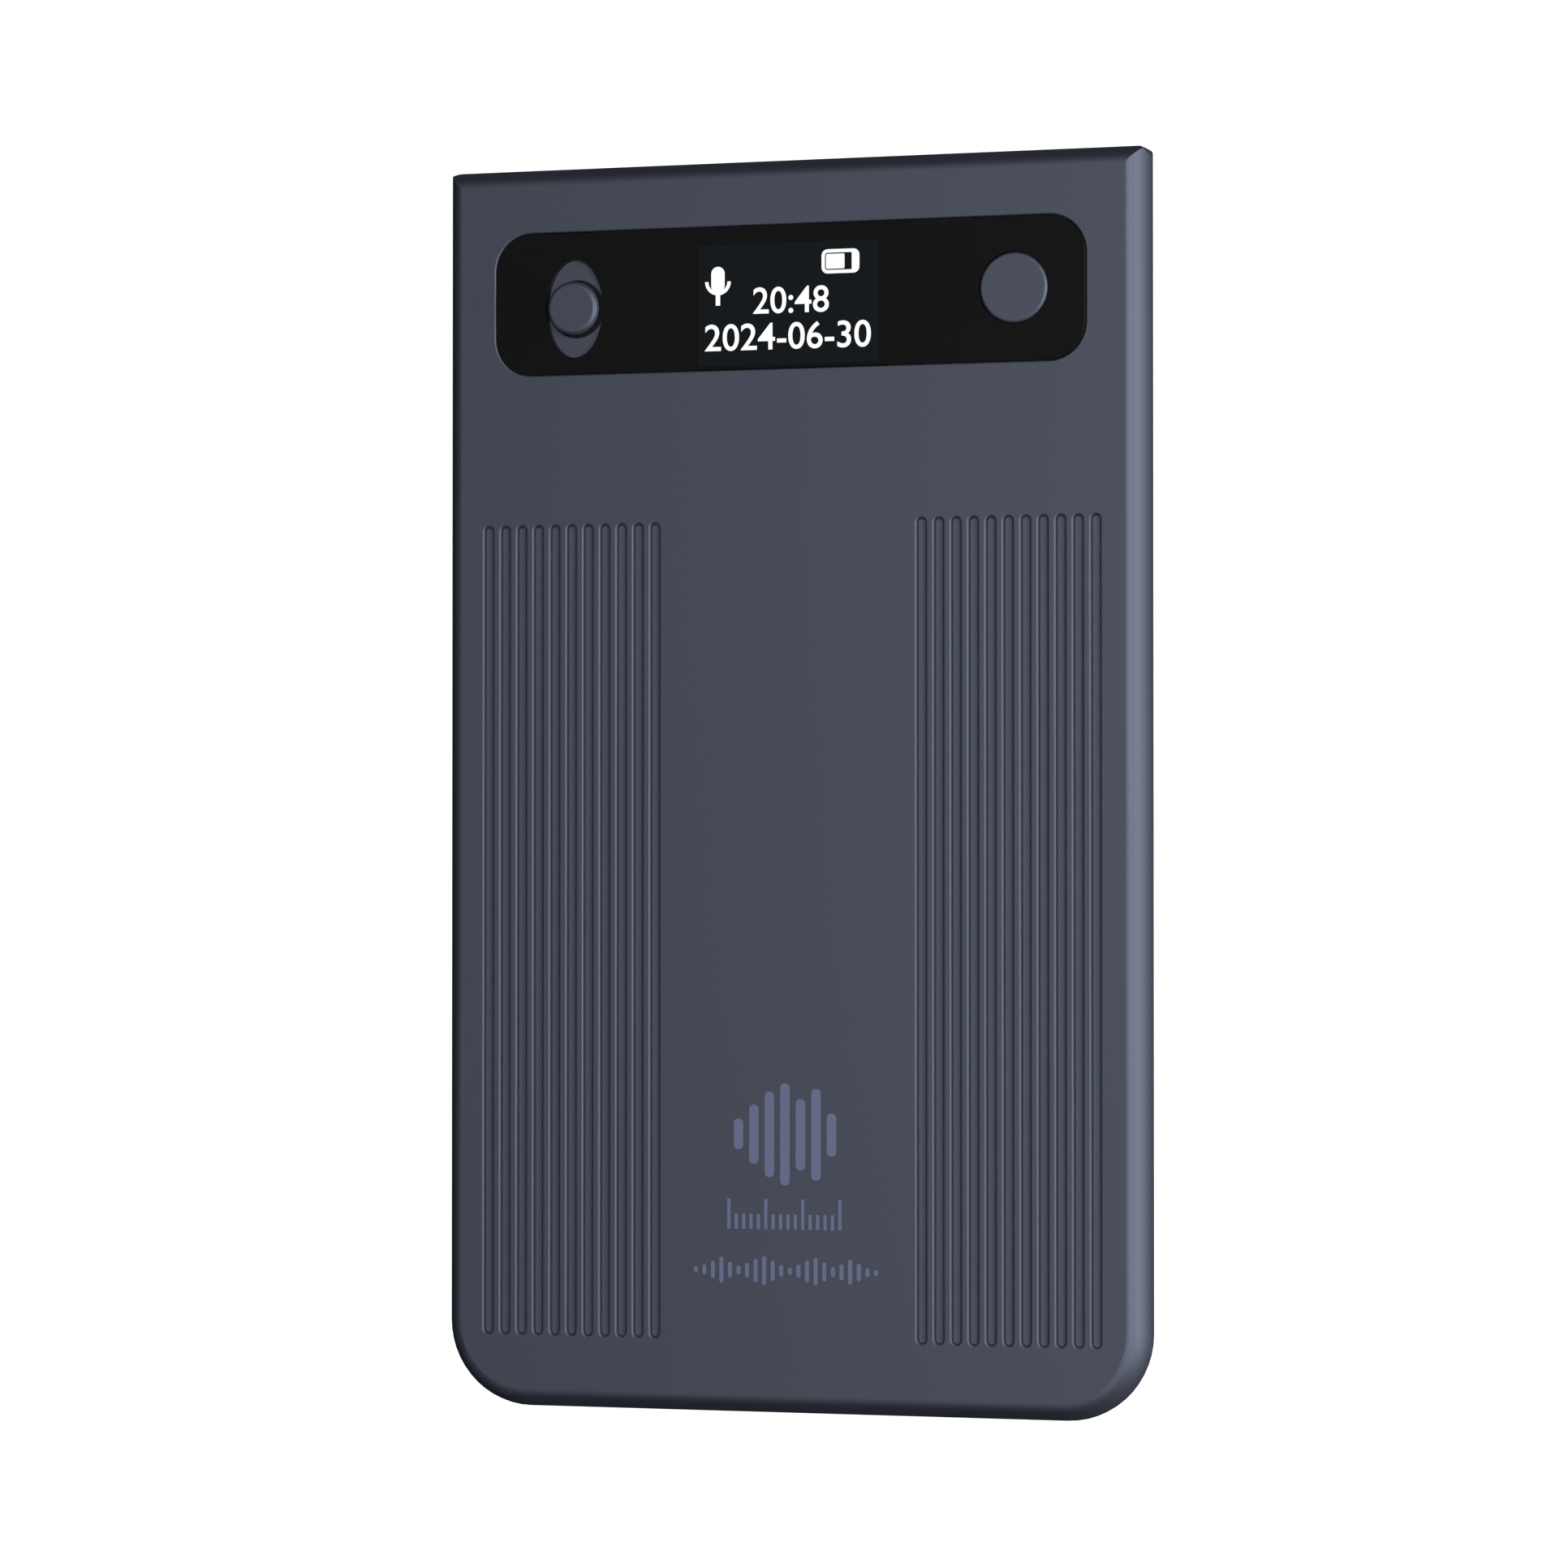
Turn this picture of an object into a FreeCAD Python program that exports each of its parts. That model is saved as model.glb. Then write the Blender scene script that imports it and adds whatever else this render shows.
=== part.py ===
"""Slim handheld voice recorder, lying on its back, as an assembly of separate pieces.

Frame: X across the width, Y along the length with the display end at +Y, Z up out of the
front face. The origin is the middle of the flat back face. All sizes are millimetres.
"""
import FreeCAD
import Part
import os
from math import asin, cos, pi, radians, sin, sqrt

Vector = FreeCAD.Vector

# ---------------------------------------------------------------- outer shape
body_width = 54.0
body_length = 91.5
body_thickness = 4.3
side_radius = 2.8            # large arc in the middle of the oval edge
shoulder_radius = 0.9        # small arc that joins the oval edge to a flat face
bottom_corner_radius = 6.3
top_corner_radius = 1.2      # soft cut across the two square top corners
top_corner_setback = 1.15    # from the outer edges to the axis of that cut

# ---------------------------------------------------------------- shell walls
front_wall = 0.8
cover_thickness = 0.6
cover_inset = 1.8            # outer edge of the body to the edge of the rear opening
cover_rim = 0.6              # width of the rebate that carries the back cover
cover_clearance = 0.06
edge_softness = 0.12         # small rounding on moulded edges
opening_corner = 0.48        # upper corners of the rear opening and the cavity

# ---------------------------------------------------------------- grip grooves
groove_count = 11            # on each side
groove_pitch = 1.314
groove_width = 0.6
groove_depth = 0.45
groove_lip = 0.2             # rounding of a groove's edge
groove_inner_x = 10.29       # centre of the innermost groove on each side
groove_bottom_y = -40.3
groove_top_y = 19.2

# ---------------------------------------------------------------- black panel
panel_width = 45.6
panel_length = 10.54
panel_corner = 2.8
panel_x = -0.07
panel_y = 35.6
panel_recess = 0.05          # below the front face
panel_thickness = 0.45
panel_clearance = 0.06
tape_thickness = 0.1
tape_inset = 0.3
ledge_thickness = 0.5        # shelf under the panel
ledge_margin = 1.0           # shelf beyond the panel's outline

# ---------------------------------------------------------------- display
window_width = 14.1
window_length = 8.98
window_x = 0.05
window_y = 35.08
window_clearance = 0.02
module_overlap = 0.35        # display glass beyond the window on each side
module_thickness = 1.1
module_clearance = 0.1
module_lower_inset = 0.15    # lower plate inside the glass on each side
foam_inset = 1.6
foam_corner = 0.6
ribbon_width = 7.0
ribbon_thickness = 0.12
ribbon_tuck = 0.9            # ribbon's start inside the display's edge
ribbon_flat_run = 2.2        # along the display's underside
ribbon_slope_run = 1.2       # along Y while it comes down to the board
ribbon_lift = 0.15           # ribbon above the board
display_plug_inset = 0.8     # from the board's lower edge
display_plug_length = 1.6
display_plug_overhang = 0.6  # beyond the ribbon on each side
display_plug_height = 0.8

# ---------------------------------------------------------------- mode switch
slot_half_width = 2.215
slot_half_length = 3.615
slot_x = -16.62
slot_y = 35.21
switch_travel = 1.5          # each way from the middle position
knob_radius = 1.95
knob_proud = 0.66            # knob above the panel
knob_gap = 0.06              # knob's disc above the panel
knob_edge = 0.3              # rounding of the disc's upper edge
knob_neck_radius = 1.5
plate_thickness = 0.3
plate_gap = 0.05             # sliding plate below the panel
plate_hole_radius = 2.15
plate_side_overlap = 0.6
plate_end_overlap = 0.3
plate_guide_gap = 0.1
plate_corner = 0.6
carrier_thickness = 0.3
carrier_width = 5.2
carrier_length = 6.4
carrier_corner = 0.5
lever_width = 1.2
lever_length = 1.0
lever_gap = 0.04
lever_foot_length = 2.0      # part of the lever inside the switch
lever_foot_inset = 0.5       # foot inside the switch case on each side
lever_foot_rise = 0.35       # foot above the board
lever_foot_height = 0.35
switch_body_width = 3.6
switch_body_length = 8.0
switch_body_height = 1.2
switch_body_corner = 0.25
switch_floor = 0.3
switch_wall = 0.4
switch_room_height = 0.5

# ---------------------------------------------------------------- record button
button_radius = 2.55
button_x = 17.3
button_y = 35.67
button_proud = 0.15          # above the panel
button_gap = 0.08            # round the button
button_travel = 0.25
button_rim = 0.6             # flange that keeps it in
button_rim_thickness = 0.3
button_rim_gap = 0.05
button_nub_radius = 0.9
button_nub_height = 0.2
button_edge = 0.2
tact_width = 4.6
tact_height = 0.65
tact_floor = 0.15
tact_roof = 0.15
tact_well_radius = 1.75
tact_corner = 0.3
plunger_radius = 0.85
plunger_gap = 0.08
dome_radius = 1.6
dome_height = 0.28
dome_thickness = 0.06

# ---------------------------------------------------------------- circuit boards
board_thickness = 0.6
board_underside = 1.15       # height of both boards' lower faces
board_gap = 0.4              # board edge to the inside of the shell
main_board_start = 23.2      # lower edge of the main board
charge_board_end = -33.6     # upper edge of the charging board
chip_edge = 0.06
processor_size = (5.0, 4.8, 0.85)
power_chip_size = (3.0, 3.0, 0.75)
flash_memory_size = (5.6, 4.8, 0.8)
audio_chip_size = (3.4, 2.4, 0.75)
crystal_size = (2.0, 1.6, 0.55)
charge_chip_size = (3.0, 3.0, 0.75)
processor_shift = -2.2       # from the shield can's middle, along X
power_chip_shift = 2.9       # from the shield can's middle, along X
flash_memory_shift = -2.0    # from the mode switch, along X
flash_memory_rise = 5.1      # above the main board's lower edge
audio_chip_drop = 1.8        # below the inside of the end wall
crystal_x = -6.6
crystal_rise = 3.4           # above the main board's lower edge
charge_chip_x = 9.0
charge_chip_drop = 2.2       # below the charging board's upper edge
small_part_size = (1.0, 0.5, 0.5)
main_part_columns = ((-9.2, 32.0, 5), (9.6, 32.0, 5), (19.6, 28.0, 3))   # x, first y, how many
main_part_pitch = 1.0
charge_part_places = ((-8.2, -1.2), (-9.8, -1.2), (-11.4, -1.2), (-13.0, -1.2),
                      (12.2, -1.2), (12.2, -2.1), (12.2, -3.0))   # y from the board's upper edge

# ---------------------------------------------------------------- shield can
can_x = 11.0
can_rise = 3.8               # its middle above the main board's lower edge
can_width = 10.4
can_length = 6.0
can_height = 1.3
can_wall = 0.15
can_corner = 0.5
can_edge = 0.25
can_vent_radius = 0.3
can_vent_columns = 5
can_vent_pitch_x = 1.6
can_vent_pitch_y = 1.8

# ---------------------------------------------------------------- fasteners
cover_screw_radius = 0.7
cover_screw_length = 2.2
cover_head_radius = 1.25
cover_head_height = 0.5
boss_radius = 1.7
boss_overlap = 0.3           # boss sunk into the walls beside it
board_screw_radius = 0.5
board_screw_length = 1.5
board_head_radius = 1.1
board_head_height = 0.4
standoff_radius = 1.3
screw_clearance = 0.03
recess_width = 0.28
recess_length = 1.3
recess_depth = 0.22
cover_hole_spare = 0.3       # screw hole beyond the end of its screw
board_hole_spare = 0.1
standoff_left_inset = 2.2    # lower standoffs from the inside of the shell
standoff_right_inset = 5.6
standoff_rise = 1.7          # above the main board's lower edge
standoff_upper_x = 6.2
charge_standoff_x = 15.5
charge_standoff_drop = 2.4   # below the charging board's upper edge

# ---------------------------------------------------------------- battery
battery_width = 43.0
battery_start = -31.0
battery_end = 19.8
battery_thickness = 2.5
battery_edge = 0.7
battery_tape_thickness = 0.1
battery_board_width = 16.0
battery_board_length = 2.2
lead_radius = 0.3
lead_bend_share = 0.45       # of the shorter run
plug_width = 4.2
plug_length = 3.0
plug_height = 1.25
plug_x = -11.5
plug_rise = 3.8              # above the main board's lower edge
plug_corner = 0.1
plug_chamfer = 0.15
lead_rise = 0.75             # leads' axes above the board's upper face
lead_spread = 1.4            # between the two leads at the plug
lead_start_x = -3.0
lead_start_spread = 1.0      # between the two leads at the battery
battery_tape_inset_x = 3.0
battery_tape_inset_y = 4.0
battery_tape_corner = 1.5

# ---------------------------------------------------------------- charging contacts
holder_x = 0.0
holder_y = -37.4
holder_width = 20.0
holder_length = 5.0
holder_recess = 0.12         # holder's face inside the back face
holder_clearance = 0.06
holder_flange = 0.7          # rim that rests on the inside of the back cover
contact_count = 4
contact_pitch = 2.6
contact_radius = 0.8
contact_gap = 0.02
magnet_radius = 1.6
magnet_inset = 2.4           # magnet axis from the holder's ends
magnet_cover = 0.35          # plastic in front of a magnet

# ---------------------------------------------------------------- microphones
mic_spacing = 22.0
mic_width = 3.5
mic_length = 2.4
mic_height = 1.0
mic_port_radius = 0.35
boot_wall = 0.5
boot_chamber = 0.2
boot_reach = 1.4             # from the microphone to the end wall

# ---------------------------------------------------------------- link ribbon
link_width = 2.2
link_inset = 0.4             # from the inside of the shell
link_end_main = 27.0
link_end_charge = -35.0
link_plug_length = 2.0
link_plug_height = 0.7
link_plug_overhang = 0.1     # beyond the ribbon on each side

# ---------------------------------------------------------------- derived sizes
half_width = body_width / 2
half_length = body_length / 2
mid_height = body_thickness / 2
ceiling = body_thickness - front_wall
rim_rise = mid_height - shoulder_radius
rim_inset = side_radius - sqrt((side_radius - shoulder_radius) ** 2 - rim_rise ** 2)
rim_angle = asin(rim_rise / (side_radius - shoulder_radius))
cavity_inset = cover_inset + cover_rim
cavity_half_width = half_width - cavity_inset
cavity_half_length = half_length - cavity_inset

panel_top = body_thickness - panel_recess
panel_underside = panel_top - panel_thickness
pocket_floor = panel_underside - tape_thickness
ledge_underside = pocket_floor - ledge_thickness

board_top = board_underside + board_thickness
plate_top = panel_underside - plate_gap
plate_underside = plate_top - plate_thickness
carrier_underside = plate_underside - carrier_thickness
plate_half_width = slot_half_width + plate_side_overlap
plate_half_length = slot_half_length + switch_travel + plate_end_overlap
guide_half_width = plate_half_width + plate_guide_gap
guide_half_length = plate_half_length + switch_travel + plate_guide_gap
knob_top = panel_top + knob_proud
knob_underside = panel_top + knob_gap
lever_top = plate_underside - lever_gap

module_top = pocket_floor
module_underside = module_top - module_thickness
module_width = window_width + 2 * module_overlap
module_length = window_length + 2 * module_overlap

button_top = panel_top + button_proud
button_rim_top = ledge_underside - button_rim_gap
button_rim_underside = button_rim_top - button_rim_thickness
plunger_top = button_rim_underside - button_nub_height
tact_top = board_top + tact_height
dome_base = board_top + tact_floor
dome_top = dome_base + dome_height

holder_face = holder_recess
magnet_places = (
    holder_x - holder_width / 2 + magnet_inset,
    holder_x + holder_width / 2 - magnet_inset,
)
mic_end = cavity_half_length - boot_reach
mic_places = (-mic_spacing / 2, mic_spacing / 2)
link_outer_x = cavity_half_width - link_inset

top_boss_x = cavity_half_width - boss_radius + boss_overlap
top_boss_y = cavity_half_length - boss_radius + boss_overlap
cavity_corner_radius = bottom_corner_radius - cavity_inset
corner_reach = (cavity_corner_radius - boss_radius + boss_overlap) / sqrt(2)
bottom_boss_x = half_width - bottom_corner_radius + corner_reach
bottom_boss_y = -half_length + bottom_corner_radius - corner_reach
boss_places = [
    (-top_boss_x, top_boss_y),
    (top_boss_x, top_boss_y),
    (-bottom_boss_x, bottom_boss_y),
    (bottom_boss_x, bottom_boss_y),
]
main_standoffs = [
    (-cavity_half_width + standoff_left_inset, main_board_start + standoff_rise),
    (cavity_half_width - standoff_right_inset, main_board_start + standoff_rise),
    (-standoff_upper_x, cavity_half_length - standoff_radius),
    (standoff_upper_x, cavity_half_length - standoff_radius),
]
charge_standoff_y = charge_board_end - charge_standoff_drop
charge_standoffs = [
    (-charge_standoff_x, charge_standoff_y),
    (charge_standoff_x, charge_standoff_y),
]
display_plug_y = main_board_start + display_plug_inset
can_y = main_board_start + can_rise
battery_underside = ceiling - battery_tape_thickness - battery_thickness
battery_mid_y = (battery_start + battery_end) / 2
battery_long = battery_end - battery_start
lead_height = board_top + lead_rise
battery_board_top = lead_height - lead_radius
plug_y = main_board_start + plug_rise


# ---------------------------------------------------------------- simple shapes
def box(x0, x1, y0, y1, z0, z1):
    return Part.makeBox(x1 - x0, y1 - y0, z1 - z0, Vector(x0, y0, z0))


def block(x, y, width, length, z0, z1):
    """Box centred on x and y."""
    return box(x - width / 2, x + width / 2, y - length / 2, y + length / 2, z0, z1)


def rod(x, y, radius, z0, z1):
    return Part.makeCylinder(radius, z1 - z0, Vector(x, y, z0))


def round_block(x, y, width, length, corner, z0, z1):
    """Box centred on x and y with its four upright edges rounded."""
    plain = block(x, y, width, length, z0, z1)
    upright = [e for e in plain.Edges if abs(e.BoundBox.ZLength - (z1 - z0)) < 1e-6]
    return plain.makeFillet(corner, upright)


def oval_disc(x, y, half_x, half_y, z0, z1):
    """Upright prism on an ellipse whose long axis lies along Y."""
    ring = Part.Ellipse(Vector(0, 0, z0), half_y, half_x).toShape()
    ring.rotate(Vector(0, 0, z0), Vector(0, 0, 1), 90)
    ring.translate(Vector(x, y, 0))
    return Part.Face(Part.Wire([ring])).extrude(Vector(0, 0, z1 - z0))


def join(shapes):
    return shapes[0].fuse(shapes[1:]).removeSplitter()


def top_edges(shape, height, inside):
    """Edges that lie flat at a height and whose middle passes the given test."""
    found = []
    for edge in shape.Edges:
        bounds = edge.BoundBox
        flat = abs(bounds.ZMin - height) < 1e-6 and abs(bounds.ZMax - height) < 1e-6
        if flat and inside(bounds.Center.x, bounds.Center.y):
            found.append(edge)
    return found


# ---------------------------------------------------------------- outer body
def edge_face(inner, outer, at):
    """Section of the body from a straight inner line out to its oval edge.

    at(u, z) places a point of the section; u runs from inner to outer.
    """
    side = 1 if outer > inner else -1
    flat = outer - side * rim_inset

    def shoulder(angle, upper):
        z = shoulder_radius * sin(angle)
        height = body_thickness - shoulder_radius + z if upper else shoulder_radius - z
        return at(flat + side * shoulder_radius * cos(angle), height)

    def belly(upper):
        z = side_radius * sin(rim_angle)
        height = mid_height + z if upper else mid_height - z
        return at(outer - side * side_radius * (1 - cos(rim_angle)), height)

    middle = (pi / 2 + rim_angle) / 2
    low = at(flat, 0)
    high = at(flat, body_thickness)
    edges = [
        Part.makeLine(at(inner, 0), low),
        Part.Arc(low, shoulder(middle, False), belly(False)).toShape(),
        Part.Arc(belly(False), at(outer, mid_height), belly(True)).toShape(),
        Part.Arc(belly(True), shoulder(middle, True), high).toShape(),
        Part.makeLine(high, at(inner, body_thickness)),
        Part.makeLine(at(inner, body_thickness), at(inner, 0)),
    ]
    return Part.Face(Part.Wire(edges))


def outer_body():
    """Solid outside shape: oval edges all round, round bottom corners, square top ones."""
    corner_x = half_width - bottom_corner_radius
    corner_y = -half_length + bottom_corner_radius
    overrun = 1.0
    pieces = []
    for side in (-1, 1):
        section = edge_face(0, side * half_width, lambda u, z: Vector(u, corner_y, z))
        pieces.append(section.extrude(Vector(0, half_length + overrun - corner_y, 0)))
        turn = edge_face(
            side * corner_x, side * half_width, lambda u, z: Vector(u, corner_y, z)
        )
        axis = Vector(side * corner_x, corner_y, 0)
        pieces.append(turn.revolve(axis, Vector(0, 0, 1), -side * 90))
    foot = edge_face(corner_y, -half_length, lambda u, z: Vector(-corner_x, u, z))
    pieces.append(foot.extrude(Vector(2 * corner_x, 0, 0)))
    slab = join(pieces)

    head = edge_face(
        -half_length - overrun,
        half_length,
        lambda u, z: Vector(-half_width - overrun, u, z),
    )
    slab = slab.common(head.extrude(Vector(body_width + 2 * overrun, 0, 0)))
    for side in (-1, 1):
        axis_x = side * (half_width - top_corner_setback)
        axis_y = half_length - top_corner_setback
        far_x = side * (half_width + overrun)
        corner = box(
            min(axis_x, far_x), max(axis_x, far_x), axis_y, half_length + overrun,
            -overrun, body_thickness + overrun,
        )
        keep = rod(axis_x, axis_y, top_corner_radius, -overrun, body_thickness + overrun)
        slab = slab.cut(corner.cut(keep))
    return slab.removeSplitter()


def inset_outline(inset, z0, z1):
    """Upright prism that follows the body's outline at a distance inside it."""
    width = body_width - 2 * inset
    length = body_length - 2 * inset
    plain = block(0, 0, width, length, z0, z1)
    lower = []
    upper = []
    for edge in plain.Edges:
        if abs(edge.BoundBox.ZLength - (z1 - z0)) < 1e-6:
            if edge.BoundBox.Center.y < 0:
                lower.append(edge)
            else:
                upper.append(edge)
    rounded = plain.makeFillet(bottom_corner_radius - inset, lower)
    small = [
        e for e in rounded.Edges
        if abs(e.BoundBox.ZLength - (z1 - z0)) < 1e-6
        and e.BoundBox.Center.y > half_length - inset - 0.01
    ]
    return rounded.makeFillet(opening_corner, small)


def groove_places():
    """Centre lines of the grip grooves, both sides."""
    for side in (-1, 1):
        for index in range(groove_count):
            yield side * (groove_inner_x + index * groove_pitch)


def cut_grooves(shell):
    """Row of round-ended grip grooves on each side, with softened edges."""
    radius = groove_width / 2
    floor = body_thickness - groove_depth
    above = body_thickness + 1.0
    low = groove_bottom_y + radius
    high = groove_top_y - radius
    tools = []
    for x in groove_places():
        tools.append(join([
            box(x - radius, x + radius, low, high, floor, above),
            rod(x, low, radius, floor, above),
            rod(x, high, radius, floor, above),
        ]))
    shell = shell.cut(tools)
    reach = half_width - rim_inset - groove_lip

    def on_groove(x, y):
        return abs(x) < reach and groove_bottom_y - 0.1 < y < groove_top_y + 0.1

    return shell.makeFillet(groove_lip, top_edges(shell, body_thickness, on_groove))


# ---------------------------------------------------------------- housing
def screw_hole(x, y, radius, z0, z1):
    return rod(x, y, radius + screw_clearance, z0, z1)


def panel_outline(grow, z0, z1):
    """Prism on the black panel's outline, grown or shrunk all round."""
    return round_block(
        panel_x, panel_y, panel_width + 2 * grow, panel_length + 2 * grow,
        panel_corner + grow, z0, z1,
    )


def front_housing():
    """Coated tray: front face, edges, shelf for the panel, bosses and standoffs."""
    shell = outer_body()
    shell = cut_grooves(shell)
    shell = shell.cut(panel_outline(0, pocket_floor, body_thickness + 1.0))

    def on_pocket(x, y):
        near_x = abs(x - panel_x) < panel_width / 2 + 0.1
        return near_x and abs(y - panel_y) < panel_length / 2 + 0.1

    shell = shell.makeFillet(edge_softness, top_edges(shell, body_thickness, on_pocket))

    opening = inset_outline(cover_inset, -1.0, cover_thickness)
    cavity = inset_outline(cavity_inset, 0, ceiling)
    shelf = panel_outline(ledge_margin, ledge_underside, ceiling + 0.1)
    solid_parts = [shelf]
    for x, y in boss_places:
        solid_parts.append(rod(x, y, boss_radius, cover_thickness, ceiling + 0.1))
    for x, y in main_standoffs + charge_standoffs:
        solid_parts.append(rod(x, y, standoff_radius, board_top, ceiling + 0.1))
    shell = shell.cut(opening)
    shell = shell.cut(cavity.cut(solid_parts))

    holes = [
        block(
            window_x, window_y, module_width + 2 * module_clearance,
            module_length + 2 * module_clearance, cover_thickness, pocket_floor + 0.1,
        ),
        block(
            slot_x, slot_y, 2 * guide_half_width, 2 * guide_half_length,
            cover_thickness, panel_underside,
        ),
        rod(button_x, button_y, button_radius + button_gap, cover_thickness, pocket_floor + 0.1),
    ]
    for x, y in boss_places:
        top = cover_head_height + cover_screw_length + cover_hole_spare
        holes.append(screw_hole(x, y, cover_screw_radius, 0, top))
    for x, y in main_standoffs + charge_standoffs:
        top = board_top + board_screw_length + board_hole_spare
        holes.append(screw_hole(x, y, board_screw_radius, 0, top))
    for x in mic_places:
        holes.append(Part.makeCylinder(
            mic_port_radius, cavity_inset + 2.0,
            Vector(x, cavity_half_length - 1.0, mid_height), Vector(0, 1, 0),
        ))
    return shell.cut(holes).removeSplitter()


def back_cover():
    """Flat coated plate with countersunk holes and an opening for the charging contacts."""
    plate = inset_outline(cover_inset + cover_clearance, 0, cover_thickness)
    bottom = [e for e in plate.Edges if abs(e.BoundBox.ZMax) < 1e-6]
    plate = plate.makeFillet(edge_softness, bottom)
    tools = [holder_outline(holder_clearance, -1.0, cover_thickness + 1.0)]
    for x, y in boss_places:
        tools.append(screw_hole(x, y, cover_screw_radius, -1.0, cover_thickness + 1.0))
        tools.append(Part.makeCone(
            cover_head_radius + screw_clearance, cover_screw_radius + screw_clearance,
            cover_head_height, Vector(x, y, 0),
        ))
    return plate.cut(tools)


def cross_recess(x, y, height):
    """Cross slot in a screw head that faces down."""
    return [
        block(x, y, recess_length, recess_width, height - 0.1, height + recess_depth),
        block(x, y, recess_width, recess_length, height - 0.1, height + recess_depth),
    ]


def back_cover_screws():
    screws = []
    for x, y in boss_places:
        head = Part.makeCone(
            cover_head_radius, cover_screw_radius, cover_head_height, Vector(x, y, 0)
        )
        end = cover_head_height + cover_screw_length
        shank = rod(x, y, cover_screw_radius, cover_head_height, end)
        screws.append(join([head, shank]).cut(cross_recess(x, y, 0)))
    return screws


def board_screws():
    screws = []
    for x, y in main_standoffs + charge_standoffs:
        low = board_underside - board_head_height
        head = rod(x, y, board_head_radius, low, board_underside)
        lower = [e for e in head.Edges if e.BoundBox.ZMax < low + 1e-6]
        head = head.makeFillet(edge_softness, lower)
        shank = rod(x, y, board_screw_radius, board_underside, board_top + board_screw_length)
        screws.append(join([head, shank]).cut(cross_recess(x, y, low)))
    return screws


# ---------------------------------------------------------------- black panel and display
def lens_panel():
    """Black panel with its display window, switch slot and button hole."""
    panel = panel_outline(-panel_clearance, panel_underside, panel_top)
    rim = top_edges(panel, panel_top, lambda x, y: True)
    panel = panel.makeFillet(edge_softness / 2, rim)
    low = panel_underside - 1.0
    high = panel_top + 1.0
    return panel.cut([
        block(window_x, window_y, window_width, window_length, low, high),
        oval_disc(slot_x, slot_y, slot_half_width, slot_half_length, low, high),
        rod(button_x, button_y, button_radius + button_gap, low, high),
    ])


def lens_tape():
    """Adhesive between the shelf and the panel, open round the moving pieces."""
    sheet = panel_outline(-tape_inset, pocket_floor, panel_underside)
    low = pocket_floor - 1.0
    high = panel_underside + 1.0
    return sheet.cut([
        block(window_x, window_y, window_width, window_length, low, high),
        block(slot_x, slot_y, 2 * guide_half_width, 2 * guide_half_length, low, high),
        rod(button_x, button_y, button_radius + 3 * button_gap, low, high),
    ]).Solids


def display_window():
    """Dark cover glass that fills the panel's window, flush with the panel."""
    return block(
        window_x, window_y, window_width - 2 * window_clearance,
        window_length - 2 * window_clearance, pocket_floor, panel_top,
    )


def display_module():
    """Display glass and its lower plate, under the window."""
    glass = block(
        window_x, window_y, module_width, module_length,
        module_underside + module_thickness / 2, module_top,
    )
    lower = block(
        window_x, window_y, module_width - 2 * module_lower_inset,
        module_length - 2 * module_lower_inset,
        module_underside, module_underside + module_thickness / 2,
    )
    return join([glass, lower])


def display_foam():
    """Cushion that presses the display up from the board."""
    return round_block(
        window_x, window_y + foam_inset / 2, module_width - 2 * foam_inset,
        module_length - 2 * foam_inset, foam_corner, board_top, module_underside,
    )


def ribbon(points, thickness, x0, x1):
    """Flat ribbon along X whose underside follows points in Y and Z."""
    upper = [(y, z + thickness) for y, z in reversed(points)]
    ring = [Vector(x0, y, z) for y, z in points + upper]
    return Part.Face(Part.makePolygon(ring + ring[:1])).extrude(Vector(x1 - x0, 0, 0))


def display_ribbon():
    """Ribbon from under the display down to its connector on the board."""
    start = window_y - module_length / 2 + ribbon_tuck
    bend = start - ribbon_flat_run
    high = module_underside - ribbon_thickness
    low = board_top + ribbon_lift
    path = [
        (start, high),
        (bend, high),
        (bend - ribbon_slope_run, low),
        (display_plug_y + display_plug_length, low),
    ]
    return ribbon(path, ribbon_thickness, window_x - ribbon_width / 2, window_x + ribbon_width / 2)


def display_connector():
    return round_block(
        window_x, display_plug_y + display_plug_length / 2,
        ribbon_width + 2 * display_plug_overhang, display_plug_length,
        plug_corner, board_top, board_top + display_plug_height,
    )


# ---------------------------------------------------------------- mode switch
def mode_switch_knob():
    """Round thumb knob on a neck that reaches down through the slot."""
    disc = rod(slot_x, slot_y, knob_radius, knob_underside, knob_top)
    disc = disc.makeFillet(knob_edge, top_edges(disc, knob_top, lambda x, y: True))
    neck = rod(slot_x, slot_y, knob_neck_radius, plate_underside, knob_underside)
    return join([disc, neck])


def mode_switch_plate():
    """Thin coated plate that closes the slot and slides with the knob."""
    sheet = round_block(
        slot_x, slot_y, 2 * plate_half_width, 2 * plate_half_length,
        plate_corner, plate_underside, plate_top,
    )
    return sheet.cut(rod(slot_x, slot_y, plate_hole_radius, plate_underside - 1, plate_top + 1))


def mode_switch_carrier():
    """Black slider under the plate that holds the knob and takes the switch's lever."""
    slider = round_block(
        slot_x, slot_y, carrier_width, carrier_length,
        carrier_corner, carrier_underside, plate_underside,
    )
    return slider.cut(block(
        slot_x, slot_y, lever_width + 2 * lever_gap, lever_length + 2 * lever_gap,
        carrier_underside - 1, plate_underside + 1,
    ))


def mode_switch_lever():
    """Lever of the slide switch, with a foot inside the switch body."""
    foot_low = board_top + lever_foot_rise
    foot_high = foot_low + lever_foot_height
    stem = block(slot_x, slot_y, lever_width, lever_length, foot_high, lever_top)
    foot = block(
        slot_x, slot_y, switch_body_width - 2 * lever_foot_inset, lever_foot_length,
        foot_low, foot_high,
    )
    return join([stem, foot])


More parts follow.
